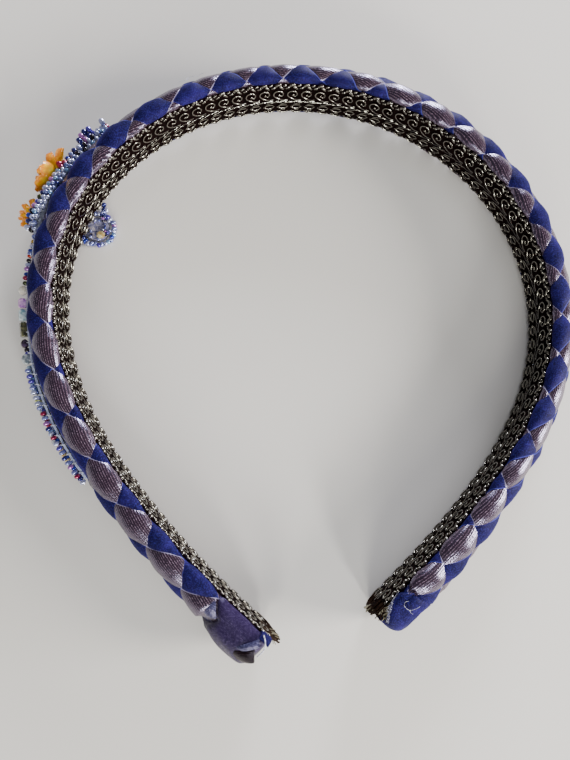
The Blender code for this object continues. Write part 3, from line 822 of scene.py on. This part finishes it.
def gimp_unit():
    """One repeat of the scroll: hooks on the edge, a curl with a long tail, plait, loop and scallop."""
    shape = Shape()

    def cord(points, radius, steps, sides, height):
        flat = curl(points, steps)
        taper = 0.7 + 0.3 * np.sin(pi * np.linspace(0.06, 0.94, len(flat))) ** 0.5
        strand(shape, np.column_stack([flat, np.full(len(flat), height)]) * MM, radius * taper * MM, sides)

    # Hooks along the upper edge, and the cords that join them to the curl
    cord([(-0.6, 5.35), (-0.3, 5.95), (0.3, 5.95), (0.6, 5.5)], 0.5, 6, 7, 0.12)
    cord([(1.45, 5.35), (1.75, 5.75), (2.1, 5.5)], 0.38, 4, 6, 0.12)
    cord([(0.2, 5.2), (0.75, 4.75), (1.35, 4.2)], 0.36, 5, 6, 0.15)
    cord([(-1.75, 4.5), (-1.35, 4.85), (-0.95, 4.6)], 0.38, 4, 6, 0.15)
    # The curl with its long tail, and the knot in its middle
    cord([(0.35, 1.95), (0.75, 1.35), (1.25, 1.5), (1.45, 2.2), (1.1, 2.95), (0.2, 3.5), (-0.75, 3.2),
          (-1.15, 2.3), (-0.95, 1.45), (-0.35, 0.75), (0.5, 0.15), (1.6, -0.15), (2.65, -0.2)],
         0.26, 28, 6, 0.28)
    cord([(0.1, 2.1), (0.45, 1.8)], 0.42, 3, 6, 0.34)
    # The plait
    cord([(0.7, -2.15), (1.6, -1.7), (2.5, -1.45), (3.5, -1.25)], 0.22, 7, 6, 0.32)
    cord([(-0.5, -1.1), (0.6, -1.35), (1.6, -1.0), (2.6, -1.1)], 0.2, 7, 5, 0.2)
    # The loop, and the scallop along the lower edge
    cord([(-0.1, -3.1), (0.5, -3.75), (1.4, -4.0), (2.3, -3.8), (3.0, -3.0)], 0.3, 10, 6, 0.28)
    cord([(0.4, -2.95), (1.4, -2.6), (2.6, -2.75)], 0.2, 6, 5, 0.25)
    cord([(0.1, -4.95), (0.55, -5.6), (1.5, -5.95), (2.5, -5.75), (3.1, -5.35)], 0.36, 9, 6, 0.15)
    cord([(1.1, -4.95), (2.2, -4.85)], 0.24, 3, 5, 0.15)
    return unit_object(shape, "gimp_repeat")


def gimp_braid():
    """Scroll along the inner face, on its own dark ground."""
    arcs = np.arange(SCROLL_START, SCROLL_END, GIMP_PITCH)
    scroll = set_out("gimp_scroll", gimp_unit(), spot(arcs, GIMP_FACE, BAND_MIDDLE), forward(arcs),
                     -outward(arcs), CORD)
    shape = Shape()
    rows = []
    for arc in np.linspace(-GROUND_END, GROUND_END, 520):
        # The edges wave with the scroll's repeats, and the face is a little uneven
        wave = 1 + 0.02 * sin(2 * pi * arc / GIMP_PITCH)
        rows.append([spot(arc, out + 0.08 * sin(7 * arc + 3 * y), BAND_MIDDLE + y * wave)
                     for y, out in GROUND_PROFILE])
    loft(shape, rows)
    return scroll, shape.piece("gimp_ground", GROUND)


# Spray of beads

STITCH_PITCH = 2.5
# Ahead along the edge, out, and in from the edge, at points on one stitch
STITCH = ((0.0, FELT_BACK - 0.12, 0.7), (0.1, FELT_BACK + 0.1, -0.12), (0.25, FELT_BACK + 0.6, -0.2),
          (0.4, FELT_FACE + 0.14, 0.25), (0.6, FELT_FACE + 0.05, 1.0))
# Share of the felt's height, and of its thickness, round its section
FELT_PROFILE = ((0.0, 0.06), (0.0, 0.3), (0.06, 0.75), (0.2, 0.97), (0.5, 1.0), (0.8, 0.97), (0.94, 0.75),
                (1.0, 0.3), (1.0, 0.06))
LOW, HIGH = 0, 1

# Bead colours by number, in order along the cluster's upper edge and round the lobe
CLUSTER_EDGE = (3, 9, 9, 1, 5, 4, 5, 9, 5, 0, 2, 3, 3, 6, 9, 4, 6, 9, 5, 11, 1, 4, 8, 2, 5, 9)
LOBE_EDGE = (5, 2, 9, 0, 0, 1, 0, 9, 6, 0, 2, 6, 9, 0, 4, 0, 9, 1, 0, 5, 9, 0)
# How often each colour comes where beads are mixed
EDGE_MIX = {0: 5, 1: 3, 2: 2, 3: 1.4, 4: 1.2, 5: 1.5, 6: 1.5, 9: 4}
PALE_MIX = {0: 4, 9: 7, 6: 3, 5: 1, 8: 1}
FIELD_MIX = {0: 4, 1: 2, 2: 2, 4: 1, 5: 1, 6: 2, 7: 1, 9: 3}
LOBE_MIX = {0: 5, 1: 2, 9: 3, 5: 3, 8: 2, 4: 1}
# Arc, height over the felt and colour of the beads that stand out past the edge
PICOTS = ((-51.2, 2.6, 1), (-52.3, 2.9, 5), (-53.4, 2.7, 4), (-54.5, 2.2, 5), (-47.8, 1.9, 9),
          (-61.4, 2.2, 3))
# Arc and colour of the small seeds between the stem's larger beads
STEM_SEEDS = ((-79.0, 7), (-80.1, 9), (-81.2, 2), (-82.3, 10), (-83.4, 8), (-84.4, 9), (-85.4, 4), (-86.5, 2),
              (-87.5, 3), (-88.6, 11), (-79.6, 8), (-81.8, 0), (-103.9, 8), (-104.6, 1), (-110.7, 6),
              (-113.9, 0), (-127.2, 10), (-132.4, 2), (-133.8, 9), (-135.0, 0), (-136.2, 5), (-137.2, 9))
# Arc, out and colour of the beads that hang between the lobe and the spray
LOBE_STRAYS = ((-63.9, -1.7, 0), (-62.9, -1.2, 5), (-61.9, -0.6, 5), (-62.9, -2.0, 9))
PETAL_BASE = 10.35


def felt_edges(arc):
    """Height of the felt's lower and upper edge."""
    return [np.interp(arc, FELT_OUTLINE[:, 0], FELT_OUTLINE[:, k]) for k in (1, 2)]


def felt_backing():
    """Felt cut to the spray's outline, softly rounded at its edge."""
    shape = Shape()
    rows = []
    for arc in np.linspace(FELT_OUTLINE[0, 0], FELT_OUTLINE[-1, 0], 150):
        # The cut wavers a little, on each side in its own way
        low, high = felt_edges(arc)
        low += 0.12 * sin(arc * 3.1) - 0.1
        high += 0.12 * sin(arc * 2.3 + 1) + 0.1
        rows.append([spot(arc, FELT_BACK + FELT_THICK * depth, low + (high - low) * t)
                     for t, depth in FELT_PROFILE])
    loft(shape, rows)
    return shape.piece("felt_backing", FELT)


def whip_stitches():
    """Thread loops over the felt's edge."""
    shape = Shape()
    for which, inward in ((LOW, 1), (HIGH, -1)):
        for arc in np.arange(-135.5, -48.5, STITCH_PITCH):
            edge = felt_edges(arc)[which]
            route = [spot(arc + ahead, out, edge + inward * inset) for ahead, out, inset in STITCH]
            strand(shape, curl(route, 9), 0.13 * MM, 5)
    return shape.piece("whip_stitches", THREAD)


def pick_tint(rng, mix, count=1):
    """Tints of beads drawn from a mix of colours."""
    colours = np.array(sorted(mix))
    chances = np.array([mix[k] for k in colours], float)
    return tint_of(rng.choice(colours, count, p=chances / chances.sum()))


class BeadRow:
    """Seed beads while they are sewn on one by one, each with the direction of its hole."""

    def __init__(self):
        self.beads = []

    def sew(self, place, hole, facing, size, tint):
        self.beads.append((place, hole, facing, size, tint))

    def on_felt(self, arc, over, z, size, tint, hole=None):
        """Bead at a height over the felt's face, its hole along the band unless it is given."""
        hole = forward(arc) if hole is None else hole
        self.sew(spot(arc, FELT_FACE + over, z), hole, outward(arc), size, tint)

    def piece(self, name):
        places, holes, facings, sizes, tints = (np.array(column) for column in zip(*self.beads))
        return set_out(name, SEED_BEAD, places, holes, facings, LUSTRE, sizes, tints)


def sew_edge(row, rng, start, end, inset, pitch, size, which):
    """Row of beads inside one edge of the felt."""
    arcs = np.arange(start, end, pitch)
    for arc, tint in zip(arcs, pick_tint(rng, EDGE_MIX, len(arcs))):
        edge = felt_edges(arc)[which]
        row.on_felt(arc + rng.normal(0, 0.08), 0.25 + size / 2 + rng.normal(0, 0.08),
                    edge + (inset if which == LOW else -inset) + rng.normal(0, 0.1), size, tint)


def sew_cluster(row, rng):
    """Upper edge of the cluster in the order of its beads, paler rows beside it, its field and its picots."""
    for k, colour in enumerate(CLUSTER_EDGE):
        arc = -47.4 - 1.2 * k
        row.on_felt(arc, 1.15 + rng.normal(0, 0.12), felt_edges(arc)[HIGH] - 0.6 + rng.normal(0, 0.15), 2.0,
                    tint_of(colour))
    for start, height, over in ((-48.0, 0.35, 0.15), (-50.2, 0.1, -0.6)):
        for arc in np.arange(start, -79.0, -1.3):
            tint = pick_tint(rng, PALE_MIX)[0]
            row.on_felt(arc, over + rng.normal(0, 0.1), felt_edges(arc)[HIGH] + height + rng.normal(0, 0.1),
                        1.45, tint, forward(arc) + rng.normal(0, 0.35, 3))
    for arc in np.arange(-76.0, -51.5, 1.5):
        low, high = felt_edges(arc)
        for k, z in enumerate(np.arange(low + 2.1, high - 2.0, 1.45)):
            tint = pick_tint(rng, FIELD_MIX)[0]
            row.on_felt(arc + 0.7 * (k % 2), 0.75 + rng.normal(0, 0.15), z, 1.6, tint,
                        forward(arc) * rng.choice([-1, 1]) + rng.normal(0, 0.5, 3))
    for arc, over, colour in PICOTS:
        row.on_felt(arc, over, 9.3, 2.0, tint_of(colour))


def spray_beads():
    """Seed beads sewn along the felt's edges, stacked on the cluster and filling the stem and the leaf."""
    rng = np.random.default_rng(7)
    row = BeadRow()
    sew_edge(row, rng, -78.4, -48.2, 0.75, 1.22, 1.75, LOW)
    for which in (LOW, HIGH):
        sew_edge(row, rng, -135.4, -108.6, 0.8, 1.25, 1.6, which)
    sew_cluster(row, rng)
    for arc, colour in STEM_SEEDS:
        row.on_felt(arc, 0.95, STEM_Z + rng.normal(0, 0.2), 1.65, tint_of(colour))
    for arc in np.arange(-133.5, -109.5, 1.5):
        for z in (STEM_Z - SEED, STEM_Z + SEED):
            row.on_felt(arc, 0.6, z + rng.normal(0, 0.15), 1.3, pick_tint(rng, FIELD_MIX)[0])
    return row.piece("spray_seed_beads")


def lobe_spot(angle, radius, z):
    """Point over the round lobe, by angle and distance from its middle, at a height over the floor."""
    return floor_spot(LOBE_ARC + radius * sin(angle), LOBE_OUT - radius * cos(angle), z)


def lobe_beads():
    """Beads round the curled lobe, and a few sewn loosely inside them."""
    rng = np.random.default_rng(11)
    row = BeadRow()
    up = (0.0, 0.0, 1.0)
    for colour, a in zip(LOBE_EDGE, np.radians(np.linspace(-120, 124, len(LOBE_EDGE)))):
        place = lobe_spot(a, LOBE_RADIUS - SEED / 2 + rng.normal(0, 0.16), 0.9 + rng.normal(0, 0.1))
        hole = forward(LOBE_ARC) * cos(a) + outward(LOBE_ARC) * sin(a) + rng.normal(0, 0.25, 3)
        row.sew(place, hole, up, rng.uniform(1.35, 1.8), tint_of(colour))
    for _ in range(30):
        place = lobe_spot(rng.uniform(-2.4, 2.4), rng.uniform(1.6, 3.7), 1.5 + rng.normal(0, 0.12))
        hole = rng.normal(0, 1, 3) * (1, 1, 0.3)
        row.sew(place, hole, up, rng.uniform(0.6, 1.05), pick_tint(rng, LOBE_MIX)[0])
    for arc, out, colour in LOBE_STRAYS:
        row.sew(floor_spot(arc, out, 1.4), rng.normal(0, 1, 3), up, 1.5, tint_of(colour))
    return row.piece("lobe_seed_beads")


def felt_lobe():
    """Round felt lobe on the floor inside the band, with the neck that turns up outside it."""
    shape = Shape()
    disc = LOBE_RADIUS - SEED - 0.3
    rings, around = 7, 40
    angles = [2 * pi * k / around for k in range(around)]
    points = [lobe_spot(0.0, 0.0, 1.38)]
    for r in range(1, rings + 1):
        t, radius = r / rings, disc * r / rings
        height = 1.35 - 0.35 * max(0.0, t - 0.8) / 0.2 + 0.05 * sin(9 * radius)
        points += [lobe_spot(a, radius, height) for a in angles]
    points += [lobe_spot(a, disc, 0.35) for a in angles]
    faces = [(0, 1 + k, 1 + (k + 1) % around) for k in range(around)]
    for r in range(rings):
        a, b = 1 + r * around, 1 + (r + 1) * around
        for k in range(around):
            j = (k + 1) % around
            faces.append((a + k, b + k, b + j, a + j))
    faces.append(tuple(1 + rings * around + k for k in range(around)))
    shape.add(points, faces)
    # Out and height along the neck, and its section, along the band and through the felt
    route = curl([(LOBE_OUT + 2.2, 0.85), (1.5, 0.85), (4.0, 0.85), (6.4, 0.9), (7.6, 1.4), (7.95, 2.3),
                  (7.95, 3.4)], 24)
    section = ((-3, 0.25), (-2.8, 0.45), (2.8, 0.45), (3, 0.25), (3, -0.25), (2.8, -0.45), (-2.8, -0.45),
               (-3, -0.25))
    heading = np.gradient(route, axis=0)
    heading /= np.linalg.norm(heading, axis=1)[:, None]
    loft(shape, [[floor_spot(LOBE_ARC + side, out - h_z * depth, max(z + h_out * depth, 0.35))
                  for side, depth in section] for (out, z), (h_out, h_z) in zip(route, heading)])
    return shape.piece("felt_lobe", LOBE_FELT)


def petals(name, arc, z, radius, reach, seed):
    """Cupped flower of thin ruffled petals in three layers, facing outwards."""
    rng = np.random.default_rng(seed)
    shape = Shape()
    count = 6
    t, side = np.meshgrid(np.linspace(0.06, 1.0, 10), np.linspace(-1, 1, 9), indexing="ij")
    rows, columns = t.shape
    ring = [r * columns + c for r, c in grid_rim(rows, columns)]
    faces = grid_faces(rows, columns) + grid_faces(rows, columns, first=t.size)
    faces += wall_faces(ring, [k + t.size for k in ring])
    width = 0.62 * np.sin(pi * t ** 0.8 * 0.86 + 0.12) ** 0.8 * pi / count * 1.45
    tip = 1 - 0.14 * np.abs(side) ** 2.4
    tint = np.clip(t * 0.75 + 0.25 * np.abs(side) ** 3, 0, 1)
    for layer, (share, lift, turn) in enumerate(((1.0, 0.0, 0.0), (0.84, 0.4, pi / count), (0.55, 0.8, 0.3))):
        length = radius * share * t * (1 - (1 - tip) * t)
        cup = (reach + 0.5 * layer) * t ** 1.5 + 0.5 * np.abs(side) ** 2 * t
        for k in range(count):
            angle = 2 * pi * k / count + turn + rng.normal(0, 0.08) + pi / 2 + side * width
            ruffle = 0.2 * np.sin(side * 4 + k * 2.1 + layer) * t ** 2 + 0.06 * np.sin(side * 11 + t * 6 + k)
            out = PETAL_BASE + lift + cup + ruffle + 0.18 * k / count
            skins = [spot(arc + length * np.cos(angle), out - thick, z + length * np.sin(angle))
                     for thick in (0.0, 0.22)]
            shape.add(skins, faces, tint=np.tile(tint.ravel(), 2))
    return shape.piece(name, PETAL, 40)


# Cut ends and loose threads

def frayed(shape, side, route, steps, radius, sides):
    """Thread or cord past one tip, through points given as arc, out and height from the band's middle."""
    route = [spot(side * arc, out, BAND_MIDDLE + height) for arc, out, height in curl(route, steps)]
    strand(shape, route, radius * MM, sides)


def thread_on_band(shape, points, steps, lift, radius, sides):
    """Thread lying on the band, through points given as arc and walk."""
    flat = curl(points, steps)
    strand(shape, on_band(flat[:, 0], flat[:, 1], lift), radius * MM, sides)


def gimp_ends():
    """Cut ends of the braid: its cords drawn together past each tip, and threads that fray from them."""
    rng = np.random.default_rng(5)
    cords, threads = Shape(), Shape()
    for side, reach, count in ((-1, 3.4, 22), (1, 1.3, 12)):
        for k in range(14):
            z = 11.0 * k / 13 - 5.6
            out = -rng.uniform(0.2, 0.9)
            end = reach * rng.uniform(0.75, 1.0)
            frayed(cords, side, [(191.0, out, z), (193.4, out, z * 0.96), (193.8 + end * 0.5, -0.6, z * 0.75),
                                 (194.0 + end, -0.5 + rng.normal(0, 0.25), z * 0.5 + rng.normal(0, 0.4))],
                   9, np.linspace(0.34, 0.2, 10), 5)
        for k in range(count):
            z, out = rng.uniform(-3.2, 3.2), -rng.uniform(0.1, 1.0)
            drift, rise = rng.normal(0, 0.5, 2)
            base = 193.4 + reach * rng.uniform(0.2, 0.8)
            route = [(base, out, z), (base + 0.6, out + drift * 0.5, z + rise * 0.4),
                     (base + rng.uniform(1.0, 1.9), out + drift, z + rise)]
            frayed(threads, side, route, 5, rng.uniform(0.07, 0.15), 4)
    # Olive and brown threads matted over the right tip's inner corner
    for k in range(70):
        arc, walk = rng.uniform(189.5, 193.6), rng.uniform(-2.0, 1.2)
        points = [(arc, walk), (arc + rng.normal(0, 0.5), walk + rng.normal(0, 0.4)),
                  (arc + rng.normal(0.4, 0.7), walk + rng.normal(0, 0.7))]
        thread_on_band(threads if k % 3 else cords, points, 5, 0.1 + 0.25 * rng.uniform(0, 1),
                       rng.uniform(0.07, 0.14), 4)
    return cords.piece("gimp_end_cords", CUT_CORD), threads.piece("gimp_frays", FRAY)


def loose_threads():
    """Curled white threads on the right tip and the crown, and the frayed edge of the right tip's ribbon."""
    rng = np.random.default_rng(8)
    shape = Shape()
    curls = (((186.5, 1.5), (187.2, 1.2), (188.0, 1.6), (187.8, 2.7), (186.5, 3.3), (185.5, 3.6)),
             ((187.8, 2.6), (187.9, 3.2), (187.8, 3.7)),
             ((-24.2, 6.2), (-25.4, 6.8), (-26.2, 6.0), (-25.6, 5.2), (-27.0, 4.8), (-28.2, 5.6)),
             ((-21.6, 7.4), (-22.6, 7.9), (-23.6, 7.5), (-23.8, 6.7)))
    for points in curls:
        thread_on_band(shape, points, 22, 1.2 + 0.12 * np.sin(np.linspace(0, 9, 23)), 0.032, 5)
    # Pale selvedge that shows at the left tip's end
    thread_on_band(shape, [(-192.0, 0.2), (-193.3, 0.6), (-194.1, 1.6), (-193.9, 3.0)], 12, 1.6, 0.17, 6)
    for _ in range(46):
        arc = rng.uniform(186.6, 193.4)
        edge = np.interp(arc, (187.0, 189.0, 191.5, 193.5), (-0.9, -0.3, 0.5, 1.6))
        points = [(arc, edge + 0.3), (arc + rng.normal(0, 0.2), edge - 0.1),
                  (arc + rng.normal(0, 0.3), edge - rng.uniform(0.1, 0.45))]
        thread_on_band(shape, points, 4, np.linspace(0.75, 0.5, 5), 0.026, 4)
    return shape.piece("loose_threads", WHITE_THREAD)


# Light, floor and camera

CAMERA_PLACE = (-0.014202, -0.029004, 0.154339)
# The camera's right, up and backward directions
CAMERA_AXES = ((0.9974, -0.04565, 0.05568), (0.03786, 0.99031, 0.13367), (-0.06124, -0.13121, 0.98947))
CAMERA_LENS = 27.05
FLOOR_HALF = 2.0


def soft_light(name, place, aim, size, power, colour):
    """Round area light, all in metres and watts."""
    lamp = bpy.data.lights.new(name, "AREA")
    lamp.shape = "DISK"
    lamp.size = size
    lamp.energy = power
    lamp.color = linear(colour)[:3]
    obj = bpy.data.objects.new(name, lamp)
    obj.location = place
    obj.rotation_euler = (Vector(aim) - Vector(place)).to_track_quat("-Z", "Y").to_euler()
    bpy.context.collection.objects.link(obj)
    return obj


def studio():
    """Soft window light from four sides over a pale floor, and the camera where the photo was taken."""
    world = bpy.data.worlds.new("soft_studio")
    world.use_nodes = True
    feed(world.node_tree, world.node_tree.nodes["Background"], {"Color": linear("e9ecf4"), "Strength": 0.2})
    bpy.context.scene.world = world
    soft_light("window_beyond", (0.26, 0.71, 0.14), (0.0, 0.03, 0.01), 0.24, 11.5, "f4f5ff")
    soft_light("window_right", (0.7, -0.14, 0.24), (0.0, 0.0, 0.0), 0.3, 11.5, "fffaf2")
    soft_light("window_front", (0.24, -0.66, 0.26), (0.0, -0.03, 0.01), 0.13, 4.2, "fffdf8")
    soft_light("window_left", (-0.1, -0.69, 0.3), (0.0, 0.0, 0.01), 0.22, 3.4, "fffdf2")
    # The ceiling only fills the shadows: it would lay a grey film on every gloss
    ceiling = soft_light("ceiling", (0.0, 0.0, 0.9), (0.0, 0.0, 0.0), 1.2, 4.5, "f4f4f8")
    ceiling.visible_glossy = False

    mesh = bpy.data.meshes.new("floor")
    corners = [(x * FLOOR_HALF, y * FLOOR_HALF, 0.0) for x, y in ((-1, -1), (1, -1), (1, 1), (-1, 1))]
    mesh.from_pydata(corners, [], [(0, 1, 2, 3)])
    mesh.materials.append(floor_paint())
    floor = bpy.data.objects.new("floor", mesh)
    bpy.context.collection.objects.link(floor)

    camera = bpy.data.cameras.new("photo_view")
    camera.lens = CAMERA_LENS
    camera.sensor_width = 36.0
    camera.clip_start = 0.01
    camera.clip_end = 10.0
    eye = bpy.data.objects.new("photo_view", camera)
    eye.matrix_world = Matrix.Translation(CAMERA_PLACE) @ Matrix(CAMERA_AXES).transposed().to_4x4()
    bpy.context.collection.objects.link(eye)
    bpy.context.scene.camera = eye


# The whole headband

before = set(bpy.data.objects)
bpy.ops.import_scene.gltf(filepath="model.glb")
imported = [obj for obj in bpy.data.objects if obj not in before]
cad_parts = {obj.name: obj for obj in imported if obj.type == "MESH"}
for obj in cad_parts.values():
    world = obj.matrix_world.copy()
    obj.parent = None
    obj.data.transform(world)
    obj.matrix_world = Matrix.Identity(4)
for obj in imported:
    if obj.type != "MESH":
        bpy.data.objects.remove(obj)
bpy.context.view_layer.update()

ROYAL = royal_satin()
PLUM = shot_taffeta("shot_taffeta_plum", [(0.0, "090204"), (0.45, "1e0b13"), (0.7, "3e2833"),
                                          (1.0, "8e7a8a")], "8d86a6", lie=1 / RIBBON_WIDTH)
# Pulled over the tip, the ribbon's ribs are too fine to tell apart
VIOLET = shot_taffeta("shot_taffeta_violet", [(0.0, "120b20"), (0.45, "221836"), (0.7, "34284e"),
                                              (1.0, "665a82")], "a9a4c4", shine=0.16, ribs=130)
# A darker, duller copy of the plum taffeta: painted shade on the fold under the left tip's end
PLUM_PAINTED_SHADE = shot_taffeta("shot_taffeta_shaded", [(0.0, "040203"), (0.5, "12070c"), (1.0, "2c1a22")],
                         "6f6678", shine=0.1)
# A paler, glossier copy of the plum taffeta: painted sheen on the left tip's folds where the ribbon catches
# the light
PLUM_PAINTED_SHEEN = shot_taffeta("shot_taffeta_painted_sheen", [(0.0, "1c1a2c"), (0.45, "302e4a"), (0.7, "4a4870"),
                                              (1.0, "8a88ac")], "b8b2c8", shine=0.55)
PAD = spun_thread("polyester_foam_cover", "0f102c", "1a1c4a", 0.9)
CORD = rayon_cord("glossy_rayon_cord", "030101", "200a08", 0.2)
CUT_CORD = rayon_cord("cut_gimp_cord", "0c0504", "2c1d14", 0.6)
GROUND = rayon_cord("gimp_ground_thread", "030101", "120405", 0.8)
FELT = wool_felt("pressed_wool_felt", "485078", "7c86aa", "b6bed4")
LOBE_FELT = wool_felt("pressed_wool_felt_grey", "262840", "63648a", "b8aeae", 0.62)
THREAD = spun_thread("spun_polyester_thread", "81828b", "d7dae8")
WHITE_THREAD = spun_thread("white_cotton_thread", "80808c", "d6d6ea")
FRAY = spun_thread("frayed_rayon", "423d2b", "6f6648")
LUSTRE = lustre_glass()
PETAL = petal_film()

REPEATER = repeater()
SEED_BEAD = seed_bead()

plum_weave, royal_weave = woven_ribbons()
pad = padding()
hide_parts("padded_band")
left_cap = tip_cap("left_tip_tail", -1,
                   ((-2, 178.4), (1, 179.2), (4, 182.4), (9, 181), (14, 179), (23, 178.6)),
                   ((178, -2), (195, -2)), ((-2, 0), (4, 0), (9, 1.4), (12, 0.9), (15, 0)), VIOLET, 0.15)
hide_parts("left_tip_wrap")
right_cap = tip_cap("right_tip_tail", 1, ((-2, 187), (2.3, 184.3), (7.3, 182.5), (23, 183)),
                    ((187, -1.6), (191, 0.3), (193.8, 1.5)),
                    ((-2, 0), (4, -0.1), (9, -0.4), (14, -0.2), (18, 0)), ROYAL, 0.36)
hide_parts("right_tip_wrap")
# Both silver folds carry painted sheen: the painted highlight on the tail and the painted highlight streak
# along the tip's end
left_sheen = fold("left_tip_silver_fold", ((-177.0, 4.3), (-178.7, 1.2), (-181.6, 3.7), (-179.8, 5.2)),
                  0.3, 0.45, PLUM_PAINTED_SHEEN)
left_end = fold("left_tip_end_fold", ((-188.6, 5.4), (-191.9, 0.8), (-193.2, 1.8), (-190.8, 4.9)),
                0.5, 0.95, PLUM_PAINTED_SHEEN)
# Painted shade: the plum fold under the end wears the darkened copy of the taffeta
left_under = fold("left_tip_plum_fold", ((-187.6, 7.6), (-192.6, 2.6), (-194.6, 4.8), (-190.6, 12.0)),
                  0.35, 1.2, PLUM_PAINTED_SHADE)
left_blue = fold("left_tip_royal_fold", ((-191.4, -1.5), (-194.4, -1.4), (-194.6, 0.9), (-191.8, 0.7)),
                 0.25, 1.0, ROYAL)
right_fold = fold("right_tip_fold", ((184.4, 1.9), (187.4, 1.4), (187.6, 4.2), (184.2, 4.4)),
                  0.35, 0.7, ROYAL)

scroll, ground = gimp_braid()
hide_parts("gimp_trim")

backing = felt_backing()
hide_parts("applique_backing")
stitches = whip_stitches()
spray = spray_beads()
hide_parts("cluster_bead_edging", "leaf_bead_edging", "cluster_beadwork")
lobe = felt_lobe()
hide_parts("curled_lobe")
rim = lobe_beads()
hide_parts("lobe_bead_rim")
upper = petals("upper_flower_petals", -63.4, 6.8, 6.2, 1.9, 3)
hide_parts("upper_flower")
lower = petals("lower_flower_petals", -73.8, 7.2, 3.6, 1.3, 4)
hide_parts("lower_flower")
end_cords, threads = gimp_ends()
white_threads = loose_threads()

PIECES = {
    plum_weave: "woven_ribbon", royal_weave: "woven_ribbon", pad: "woven_ribbon", left_cap: "plum_ribbon",
    right_cap: "royal_ribbon", left_sheen: "plum_ribbon", left_end: "plum_ribbon", left_under: "plum_ribbon",
    right_fold: "royal_ribbon", left_blue: "royal_ribbon", scroll: "black_gimp", ground: "black_gimp",
    backing: "grey_felt", stitches: "grey_felt", spray: "iris_seed_beads", lobe: "grey_felt",
    rim: "iris_seed_beads", upper: "amber_petals", lower: "amber_petals", end_cords: "black_gimp",
    threads: "black_gimp", white_threads: "royal_ribbon",
}
for piece, finish_slot in PIECES.items():
    # Nothing dips under the surface that the headband lies on
    points = np.empty(len(piece.data.vertices) * 3)
    piece.data.vertices.foreach_get("co", points)
    points[2::3] = np.maximum(points[2::3], 0.0)
    piece.data.vertices.foreach_set("co", points)
    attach(piece, "root")

GLASS = {
    "lobe_stone": bead_glass("champagne_crystal_glass", "b89c58", "ecdca8", 0.05, 0.0, 0.3),
    "ivory_bead": bead_glass("ivory_pearl_glass", "d8cfb8", "f4efe0", 0.2),
    "pink_cube_bead": bead_glass("pink_lustre_glass", "b06cc8", "f0c4ee", 0.08, 380.0),
    "aqua_bugle": bead_glass("aqua_lined_glass", "6f9aa8", "e2f2f4", 0.06),
    "olive_bugle": bead_glass("olive_metallic_glass", "2a2a1c", "6b6a48", 0.15),
    "dark_bead": bead_glass("black_plum_glass", "1a1422", "4a3c58", 0.1, 300.0),
    "silver_bead_middle": bead_glass("silver_lustre_glass", "6f7c86", "dfe6ea", 0.1, 500.0),
    "grey_bugle": bead_glass("grey_satin_glass", "56677c", "a8bccf", 0.2),
    "blue_bugle": bead_glass("blue_lustre_glass", "4a6fb8", "bcd6f4", 0.08, 420.0),
    "citron_cube_bead": bead_glass("citron_lustre_glass", "b8c858", "f0f0b0", 0.08, 340.0),
    "clear_bugle": bead_glass("clear_lined_glass", "7f98a4", "e8f4f6", 0.05, 0.0, 0.3),
    "red_bead": bead_glass("red_glass", "7c1226", "c83448", 0.08),
    "sky_bead": bead_glass("sky_lustre_glass", "3c62b4", "9cc0ee", 0.08, 420.0),
    "silver_bead_lower": bead_glass("silver_lustre_glass_pale", "84909a", "eef2f4", 0.1, 450.0),
    "gold_bugle": bead_glass("gold_lined_glass", "b89448", "f6ecc0", 0.08, 360.0),
}
for node_name, glass in GLASS.items():
    node_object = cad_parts[node_name]
    node_object.data.materials.clear()
    node_object.data.materials.append(glass)

studio()
